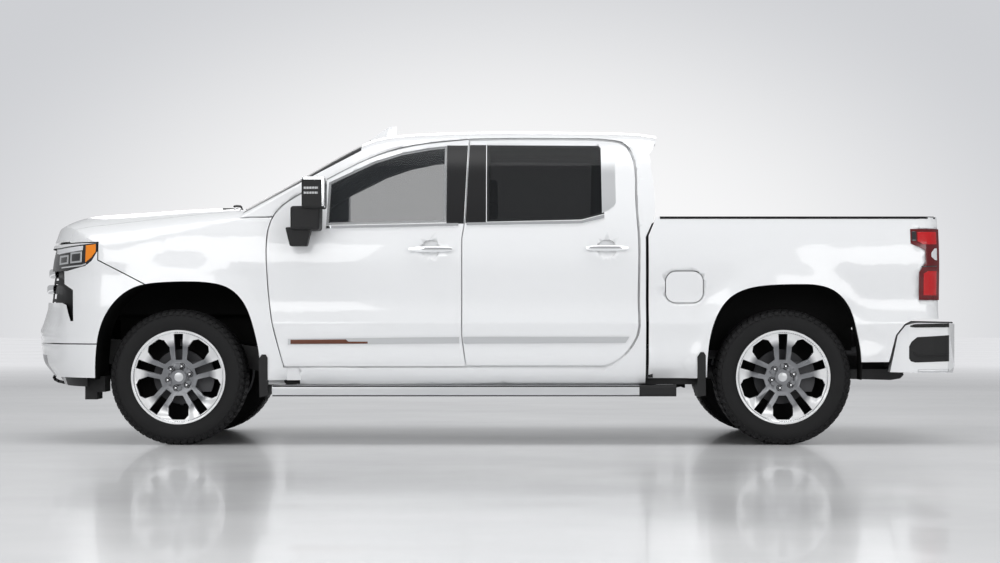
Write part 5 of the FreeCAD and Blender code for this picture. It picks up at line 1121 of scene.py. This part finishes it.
def side_blocks(build, finish, rows):
    # Each row: spans along X, outwards from the middle, and up
    for side in (-1, 1):
        for (x_from, x_to), out_span, (z_from, z_to) in rows:
            low, high = sorted(side * out for out in out_span)
            build.add(*block((x_from, low, z_from), (x_to, high, z_to)), finish)


dam = Build()
side_blocks(dam, plastic, [
    ((-2.515, -2.440), (0.62, 0.82), (0.275, 0.420)),
    ((-2.440, -2.390), (0.62, 0.82), (0.322, 0.420)),
])
# Near-black sheets in the wheel wells: painted shade
side_blocks(dam, shade_black, [
    ((-2.36, -1.42), (0.400, 0.405), (0.62, 1.00)),
    ((1.40, 2.30), (0.700, 0.705), (0.58, 0.99)),
])
dam.piece("air_dam", "truck", "black_plastic")
print("air dam faces:", len(dam.faces))

# %% [markdown]
# ## Splash guards
# A rubber flap hangs behind each wheel, a few millimetres outside the skin there. Small
# fillers close the gaps between the flaps, the sill and the ends of the running board.
# %% Splash guards
guards = Build()
# Span along X, span up, inner edge, and the panel that each guard follows
guard_rows = (
    (-1.408, -1.352, 0.296, 0.560, 0.74, "front_fenders"),
    (1.300, 1.352, 0.298, 0.575, 0.76, "bedsides"),
)
for x_from, x_to, low, high, inner, skin in guard_rows:
    outline = [(x_from + 0.006, low), (x_to, low + 0.010), (x_to, high - 0.02),
               (x_to - 0.012, high), (x_from + 0.02, high), (x_from, high - 0.03)]
    outer = min(skin_y([skin], (x_from + x_to) / 2, height) for height in (0.50, 0.54)) - 0.005
    guards.add(*slab(outline, outer, -inner), plastic)
fillers = (
    ((0.965, -0.90, 0.372), (1.300, -0.80, 0.412)),
    ((0.985, -0.955, 0.415), (1.030, -0.90, 0.490)),
    ((-1.335, -0.90, 0.374), (-1.145, -0.80, 0.402)),
)
for low, high in fillers:
    guards.add(*block(low, high), plastic)
sill_y = skin_y(["cab_shell"], -1.08, 0.440)
sill_end = [(-1.238, 0.400), (-1.150, 0.400), (-1.150, 0.484), (-1.238, 0.484)]
guards.add(*slab(sill_end, sill_y, sill_y + 0.04), paint)
both_hands(guards, "splash_guards", "truck")
print("sill skin at", round(sill_y, 3))

# %% [markdown]
# ## Hitch bar
# A tube runs across under the rear bumper, between two upright plates. It is a flat
# outline of eighteen points, drawn out along Y like the plates.
# %% Hitch bar
hitch_half = 0.50
hitch_plate = 0.02
tube_x = 2.600
tube_z = 0.430
tube_radius = 0.030
tube_sides = 18
plate_line = [(2.30, 0.455), (2.30, 0.395), (2.58, 0.388), (2.640, 0.398), (2.662, 0.420),
              (2.655, 0.447), (2.62, 0.458)]
angles = [2 * math.pi * step / tube_sides for step in range(tube_sides)]
tube = [(tube_x + tube_radius * math.cos(a), tube_z + tube_radius * math.sin(a)) for a in angles]
hitch = Build()
hitch.add(*slab(plate_line, -hitch_half - hitch_plate, -hitch_half), frame_black)
hitch.add(*slab(plate_line, hitch_half, hitch_half + hitch_plate), frame_black)
hitch.add(*slab(tube, -hitch_half, hitch_half), frame_black)
hitch.piece("hitch_bar", "truck", "black_plastic")
print("hitch bar faces:", len(hitch.faces))

# %% [markdown]
# ## Rear bumper trim
# The corners have a black step with a ribbed edge and a bright strip below. The patches
# follow the skin, and a ribbed pad lies on the bumper's top.
# %% Rear bumper trim
corner_rows = [
    ([(2.612, 0.535), (2.622, 0.518), (2.650, 0.510), (2.866, 0.517)],
     [(2.612, 0.610), (2.628, 0.640), (2.662, 0.667), (2.866, 0.679)], 0.0030, plastic),
    ([(2.632, 0.572), (2.668, 0.542), (2.866, 0.546)],
     [(2.632, 0.580), (2.672, 0.554), (2.866, 0.558)], 0.0070, plastic),
    ([(2.618, 0.730), (2.650, 0.726), (2.866, 0.728)],
     [(2.618, 0.738), (2.650, 0.748), (2.866, 0.7535)], 0.0060, plastic),
    ([(2.665, 0.449), (2.866, 0.449)], [(2.665, 0.468), (2.866, 0.468)], 0.0030, silver),
]
corners = marks(["rear_bumper"], corner_rows, Build(), step=0.012)
both_hands(corners, "bumper_corner", "truck")
pad_half = 0.78
rib_half = 0.77
rib_count = 9
rib_pitch = 0.0102
rib_width = 0.005
pad = Build()
low = (2.830, -pad_half, bumper_top - 0.002)
pad.add(*block(low, (2.925, pad_half, bumper_top + 0.004)), plastic)
for rib in range(rib_count):
    x = 2.836 + rib * rib_pitch
    high = (x + rib_width, rib_half, bumper_top + 0.0065)
    pad.add(*block((x, -rib_half, bumper_top + 0.003), high), plastic)
pad.piece("step_pad", "truck", "black_plastic")
print("step pad ribs:", rib_count)

# %% [markdown]
# ## Rear plate and tow hooks
# A blank plate with four screws sits in the middle of the rear bumper. Two hooks bend
# out under the nose; each is a half ellipse of short square links.
# %% Rear plate and tow hooks
plate_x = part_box("rear_bumper")[1].x
plate = Build()
plate.add(*block((plate_x - 0.004, -0.27, 0.505), (plate_x + 0.003, 0.27, 0.690)), plastic)
plate.add(*block((plate_x, -0.156, 0.525), (plate_x + 0.0055, 0.156, 0.675)), lamp_white)
screw = [(0.006, 0.0), (0.006, -0.004), (0.002, -0.006)]
screw_turn = Matrix.Rotation(math.radians(90), 4, "Z")
for y in (-0.12, 0.12):
    for z in (0.54, 0.66):
        move = Matrix.Translation((plate_x + 0.004, y, z)) @ screw_turn
        plate.add(*turned(screw, 12, closed=False), steel, move)
plate.piece("rear_plate", "truck", "black_plastic")
hook_middle = Vector((-2.70, 0, 0.40))
hook_reach = 0.10
hook_height = 0.035
hook_links = 8
hook_place = 0.34
hook_thick = 0.009
hooks = Build()
for side in (-1, 1):
    spots = []
    for step in range(hook_links + 1):
        angle = math.pi * step / hook_links
        bend = Vector((-hook_reach * math.sin(angle), side * hook_place, hook_height * math.cos(angle)))
        spots.append(hook_middle + bend)
    for first, second in zip(spots, spots[1:]):
        reach = (second - first).length / 2 + 0.004
        tilt = (second - first).to_track_quat("X", "Z").to_matrix().to_4x4()
        link = block((-reach, -hook_thick, -hook_thick), (reach, hook_thick, hook_thick))
        hooks.add(*link, gloss_black, Matrix.Translation((first + second) / 2) @ tilt)
hooks.piece("tow_hooks", "truck", "gloss_black")
print("rear plate and tow hooks placed")

# %% [markdown]
# ## Tail lamps
# The lamps are red with a brighter core, a smoked corner and a white reversing lens.
# %% Tail lamps
core_proud = 0.0020
tail_proud = 0.0024
tail_rows = [
    ([(2.668, 1.262), (2.700, 1.242), (2.792, 1.242)],
     [(2.668, 1.318), (2.792, 1.320)], core_proud, red_core),
    ([(2.704, 0.926), (2.790, 0.926)],
     [(2.704, 1.060), (2.730, 1.076), (2.790, 1.076)], core_proud, red_core),
    ([(2.632, 1.262), (2.660, 1.262)], [(2.632, 1.322), (2.660, 1.322)], core_proud, dark_lens),
    ([(2.754, 1.165), (2.776, 1.146), (2.793, 1.143)],
     [(2.754, 1.190), (2.776, 1.216), (2.793, 1.217)], tail_proud, lamp_white),
    ([(2.690, 1.100), (2.790, 1.104)], [(2.690, 1.106), (2.790, 1.110)], tail_proud, dark_lens),
]
tails = marks(["tail_lamps"], tail_rows, Build(), **fine)
both_hands(tails, "tail_lights", "truck")
print("tail lamp faces:", len(tails.faces))

# %% [markdown]
# ## Bed rail caps
# A black cap covers the top of the bed rail and laps a little over its side. The lap is a
# patch on the skin, and the top is a flat bar whose outer edge follows the same skin.
# %% Bed rail caps
cap_front = 1.075
cap_length = 1.705
cap_steps = 24
cap_inner = -0.835
caps = Build()
lower = [(cap_front, 1.4005), (2.790, 1.4005)]
upper = [(cap_front, 1.4115), (2.790, 1.4115)]
patch(["bedsides"], lower, upper, 0.0030, plastic, step=0.06, build=caps)
points = []
for step in range(cap_steps + 1):
    x = cap_front + cap_length * step / cap_steps
    y = skin_y(["bedsides"], x, 1.400) - 0.003
    points += [(x, y, 1.4110), (x, y, 1.4155), (x, cap_inner, 1.4165), (x, cap_inner, 1.4110)]
caps.add(points, skinned(points, 4), plastic)
both_hands(caps, "rail_cap", "truck")
print("rail cap faces:", len(caps.faces))

# %% [markdown]
# ## Tailgate trim and stop lamp
# The gate's top edge has a black cap. Its handle, a dark recess with a gloss pull, is set on
# the skin where a ray from behind meets it, and so is the stop lamp over the rear window.
# %% Tailgate trim and stop lamp
gate_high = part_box("tailgate")[1]
gate_half = 0.80
gate_cap = Build()
for x, z in ((2.796, gate_high.z - 0.002), (gate_high.x - 0.004, gate_high.z - 0.012)):
    high = (gate_high.x + 0.002, gate_half, gate_high.z + 0.004)
    gate_cap.add(*block((x, -gate_half, z), high), plastic)
gate_cap.piece("tailgate_cap", "tailgate", "black_plastic")


def seen_from_behind(name, z, otherwise):
    hit = skin_tree([name]).ray_cast(Vector((3.5, 0.0, z)), Vector((-1, 0, 0)))
    return hit[0].x if hit[0] else otherwise


handle = Build()
handle_x = seen_from_behind("tailgate", 1.30, gate_high.x)
handle.add(*block((handle_x - 0.004, -0.135, 1.262), (handle_x + 0.004, 0.135, 1.338)), plastic)
handle.add(*block((handle_x, -0.120, 1.300), (handle_x + 0.009, 0.120, 1.326)), gloss_black)
handle.piece("tailgate_handle", "tailgate", "black_plastic")
stop_x = seen_from_behind("cab_shell", 1.905, 0.98)
stop = Build().add(*block((stop_x - 0.004, -0.17, 1.892), (stop_x + 0.005, 0.17, 1.918)), red_core)
stop.piece("high_stop_lamp", "truck", "lamp_red")
print("tailgate handle at", round(handle_x, 3), "stop lamp at", round(stop_x, 3))

# %% [markdown]
# ## Running boards
# The boards are brushed metal with two thin black lines along the side. Behind the doors
# the metal ends and black plastic goes on, so the copy is cut there first.
# %% Running boards
board_front = -1.324
board_end = 0.944


def board_rule(face):
    return plastic if face.center.x > board_end else step_metal


board_mesh = merged_copy("running_boards", "boards dress")
cut_along(board_mesh, [((board_end, 0, 0), (1, 0, 0))])
refinish(board_mesh, board_rule, [step_metal, plastic])
place_mesh(board_mesh, "running_boards_dress", "truck", ["running_boards"])
board_rows = []
for low, high in ((0.359, 0.368), (0.302, 0.308)):
    lower = [(board_front, low), (board_end, low)]
    upper = [(board_front, high), (board_end, high)]
    board_rows.append((lower, upper, 0.0012, plastic))
boards = marks(["running_boards"], board_rows, Build(), step=0.08)
both_hands(boards, "board_trim", "truck")
print("running boards trimmed")

# %% [markdown]
# ## Door handles
# A handle is a slim chrome strap on two posts. Its section is a flat oval that thins
# towards both ends, and the strap bows out a little. It takes the place of the plain bar
# in the door's trim, and the rest of that trim keeps its metal: silver below, chrome above.
# %% Handles
handle_spans = {"front": (-0.483, -0.212, 1.2095), "rear": (0.614, 0.874, 1.2165)}
handle_low = 1.15
handle_high = 1.27
moulding_top = 0.9
strap_steps = 24
strap_sides = 16
strap_y = -1.0265
strap_bow = 0.004
strap_thick = 0.0075
strap_tall = 0.0165
post_inset = 0.022
post_half = 0.010


def strap(x_from, x_to, z):
    points = []
    for step in range(strap_steps + 1):
        share = step / strap_steps
        x = x_from + (x_to - x_from) * share
        y = strap_y - strap_bow * math.sin(math.pi * share)
        full = 1 - 0.45 * abs(2 * share - 1) ** 4
        for side in range(strap_sides):
            angle = 2 * math.pi * side / strap_sides
            points.append((x, y + strap_thick * math.cos(angle) * full,
                           z + strap_tall * math.sin(angle) * full))
    build = Build().add(points, skinned(points, strap_sides), chrome)
    for x in (x_from + post_inset, x_to - post_inset):
        high = (x + post_half, -0.992, z + post_half)
        build.add(*block((x - post_half, -1.024, z - post_half), high), chrome)
    return build


def without_bar(mesh):
    work = bmesh.new()
    work.from_mesh(mesh)
    gone = [vertex for vertex in work.verts if handle_low < vertex.co.z < handle_high]
    bmesh.ops.delete(work, geom=gone, context="VERTS")
    work.to_mesh(mesh)
    work.free()
    return mesh


for place in ("front", "rear"):
    for hand, side in (("left", 1), ("right", -1)):
        node = "door_trim_%s_%s" % (place, hand)
        mesh = without_bar(merged_copy(node, "trim"))
        trims = Build()
        for polygon in mesh.polygons:
            points = [mesh.vertices[i].co for i in polygon.vertices]
            finish = silver if polygon.center.z < moulding_top else chrome
            trims.add(points, [tuple(range(len(points)))], finish)
        own = strap(*handle_spans[place])
        trims.add(own.points, own.faces, chrome, Matrix.Scale(side, 4, Vector((0, 1, 0))))
        trims.piece(node + "_dress", "door_%s_%s" % (place, hand), "chrome", [node])
print("handles fitted")

# %% [markdown]
# ## Mirrors
# The tall mirrors are black with a bright cap and a bright rear edge. On the outer face lie
# two gloss panels, each with a row of fine ribs, for the signal lights.
# %% Mirrors
mirror_outer = -1.2165
back_level = 1.46
cap_level = 1.622
cap_under = 1.60
signal_levels = (1.5795, 1.5495)
signal_ribs = 9


def mirror_rule(face):
    rear_edge = face.normal.x > 0.6 and face.center.z > back_level
    cap_slope = face.normal.z > 0.3 and face.center.z > cap_under
    return chrome if rear_edge or cap_slope or face.center.z > cap_level else plastic


for hand, side in (("left", 1), ("right", -1)):
    redress("mirror_" + hand, mirror_rule, [plastic, chrome], "door_front_" + hand)
    details = Build()
    flip = Matrix.Scale(side, 4, Vector((0, 1, 0)))
    high = (-0.990, mirror_outer + 0.004, 1.632)
    details.add(*block((-1.004, mirror_outer, 1.468), high), chrome, flip)
    for z in signal_levels:
        high = (-1.024, mirror_outer + 0.004, z + 0.009)
        details.add(*block((-1.116, mirror_outer, z - 0.009), high), gloss_black, flip)
        for rib in range(signal_ribs):
            x = -1.112 + rib * 0.0096
            high = (x + 0.005, mirror_outer + 0.002, z + 0.006)
            details.add(*block((x, mirror_outer - 0.002, z - 0.006), high), silver, flip)
    details.piece("mirror_details_" + hand, "door_front_" + hand, "gloss_black")
print("mirrors dressed")

# %% [markdown]
# ## Studio: floor, light and camera
# The picture was taken square to the truck's side from about fourteen metres, at the height
# of the door bottoms. A long lens with a small shift gives the same mild perspective.
# %% Camera
camera_data = bpy.data.cameras.new("camera")
camera_data.sensor_width = 36.0
camera_data.lens = 83.95
camera_data.shift_y = 0.0309
camera_data.clip_end = 200.0
camera = bpy.data.objects.new("camera", camera_data)
camera.location = (0.0825, -15.422, 0.820)
camera.rotation_euler = (math.radians(90), 0, 0)
bpy.context.collection.objects.link(camera)
bpy.context.scene.camera = camera
bpy.context.scene.view_settings.view_transform = "Standard"
print("camera at", tuple(round(v, 3) for v in camera.location))

# %% [markdown]
# ## Floor
# The floor is pale and smooth, a little cloudy in colour and polish. Far from the truck it
# glows faintly, so that it meets the backdrop with hardly a horizon line.
# %% Floor
fade_from = 9.0
fade_to = 22.0
floor_finish = Finish("studio_floor", (0.80, 0.80, 0.81), 0.16, Coat_Weight=0.15)
cloud = floor_finish.noise(0.55, 6.0)
floor_finish.feed("Roughness", cloud * 0.16 + 0.10)
floor_finish.feed("Base Color", floor_finish.mix(cloud, (0.80, 0.805, 0.815), (0.92, 0.92, 0.925)))
along, across = floor_finish.split()[:2]
far = (along * along + across * across - fade_from ** 2) / (fade_to ** 2 - fade_from ** 2)
glow = floor_finish.mix(floor_finish.clamp(far), (0.0, 0.0, 0.0), (0.40, 0.40, 0.41))
floor_finish.feed("Emission Color", glow)
floor_finish.feed("Emission Strength", 1.0)
bpy.ops.mesh.primitive_plane_add(size=120)
floor = bpy.context.object
floor.name = "floor"
give(floor, floor_finish)
print("floor laid")

# %% [markdown]
# ## Backdrop
# The camera, and what it sees through glass, meets a backdrop that is bright behind the
# truck and falls off towards the edges. All other rays meet an even, dimmer sky.
# %% Backdrop
world = bpy.data.worlds.new("studio")
bpy.context.scene.world = world
world.use_nodes = True
sky = Tree(world.node_tree)
even = sky.node("ShaderNodeBackground", {}, {"Color": (0.86, 0.87, 0.89, 1), "Strength": 0.50})
direction = sky.node("ShaderNodeTexCoord", output="Generated")
spread = sky.node("ShaderNodeVectorMath", {"operation": "MULTIPLY"}, {0: direction, 1: (2.9, 0.0, 4.6)})
distance = sky.node("ShaderNodeVectorMath", {"operation": "LENGTH"}, {0: spread}, "Value")
stops = ((0.25, (0.94, 0.94, 0.945, 1)), (0.80, (0.62, 0.63, 0.655, 1)))
shade = sky.node("ShaderNodeValToRGB", {"stops": stops}, {0: distance})
seen = sky.node("ShaderNodeBackground", {}, {"Color": shade, "Strength": 1.0})
camera_ray = sky.node("ShaderNodeLightPath", output="Is Camera Ray")
through_glass = sky.node("ShaderNodeLightPath", output="Is Transmission Ray")
chooser = sky.node("ShaderNodeMixShader", {}, {0: camera_ray.most(through_glass), 1: even, 2: seen})
sky.join(chooser, sky.nodes["World Output"].inputs[0])
print("backdrop nodes:", len(sky.nodes))

# %% [markdown]
# ## Lamps
# One broad lamp hangs overhead, two stand beside the camera and one fills from behind. All
# are large, so their edges on the paint stay soft.
# %% Lamps


def lamp(name, place, target, width, height, power):
    data = bpy.data.lights.new(name, "AREA")
    data.shape = "RECTANGLE"
    data.size = width
    data.size_y = height
    data.energy = power
    light = bpy.data.objects.new(name, data)
    light.location = place
    light.rotation_euler = (Vector(target) - Vector(place)).to_track_quat("-Z", "Y").to_euler()
    bpy.context.collection.objects.link(light)


lamp("overhead", (0, -1.5, 6.5), (0, 0, 0), 9, 4, 265)
lamp("side_front", (-4, -9, 3.5), (0, 0, 0.8), 6, 3, 200)
lamp("side_rear", (5, -9, 3.0), (0, 0, 0.8), 5, 3, 160)
lamp("behind", (0, 9, 4.0), (0, 0, 0.8), 9, 3, 190)
print("lamps set")
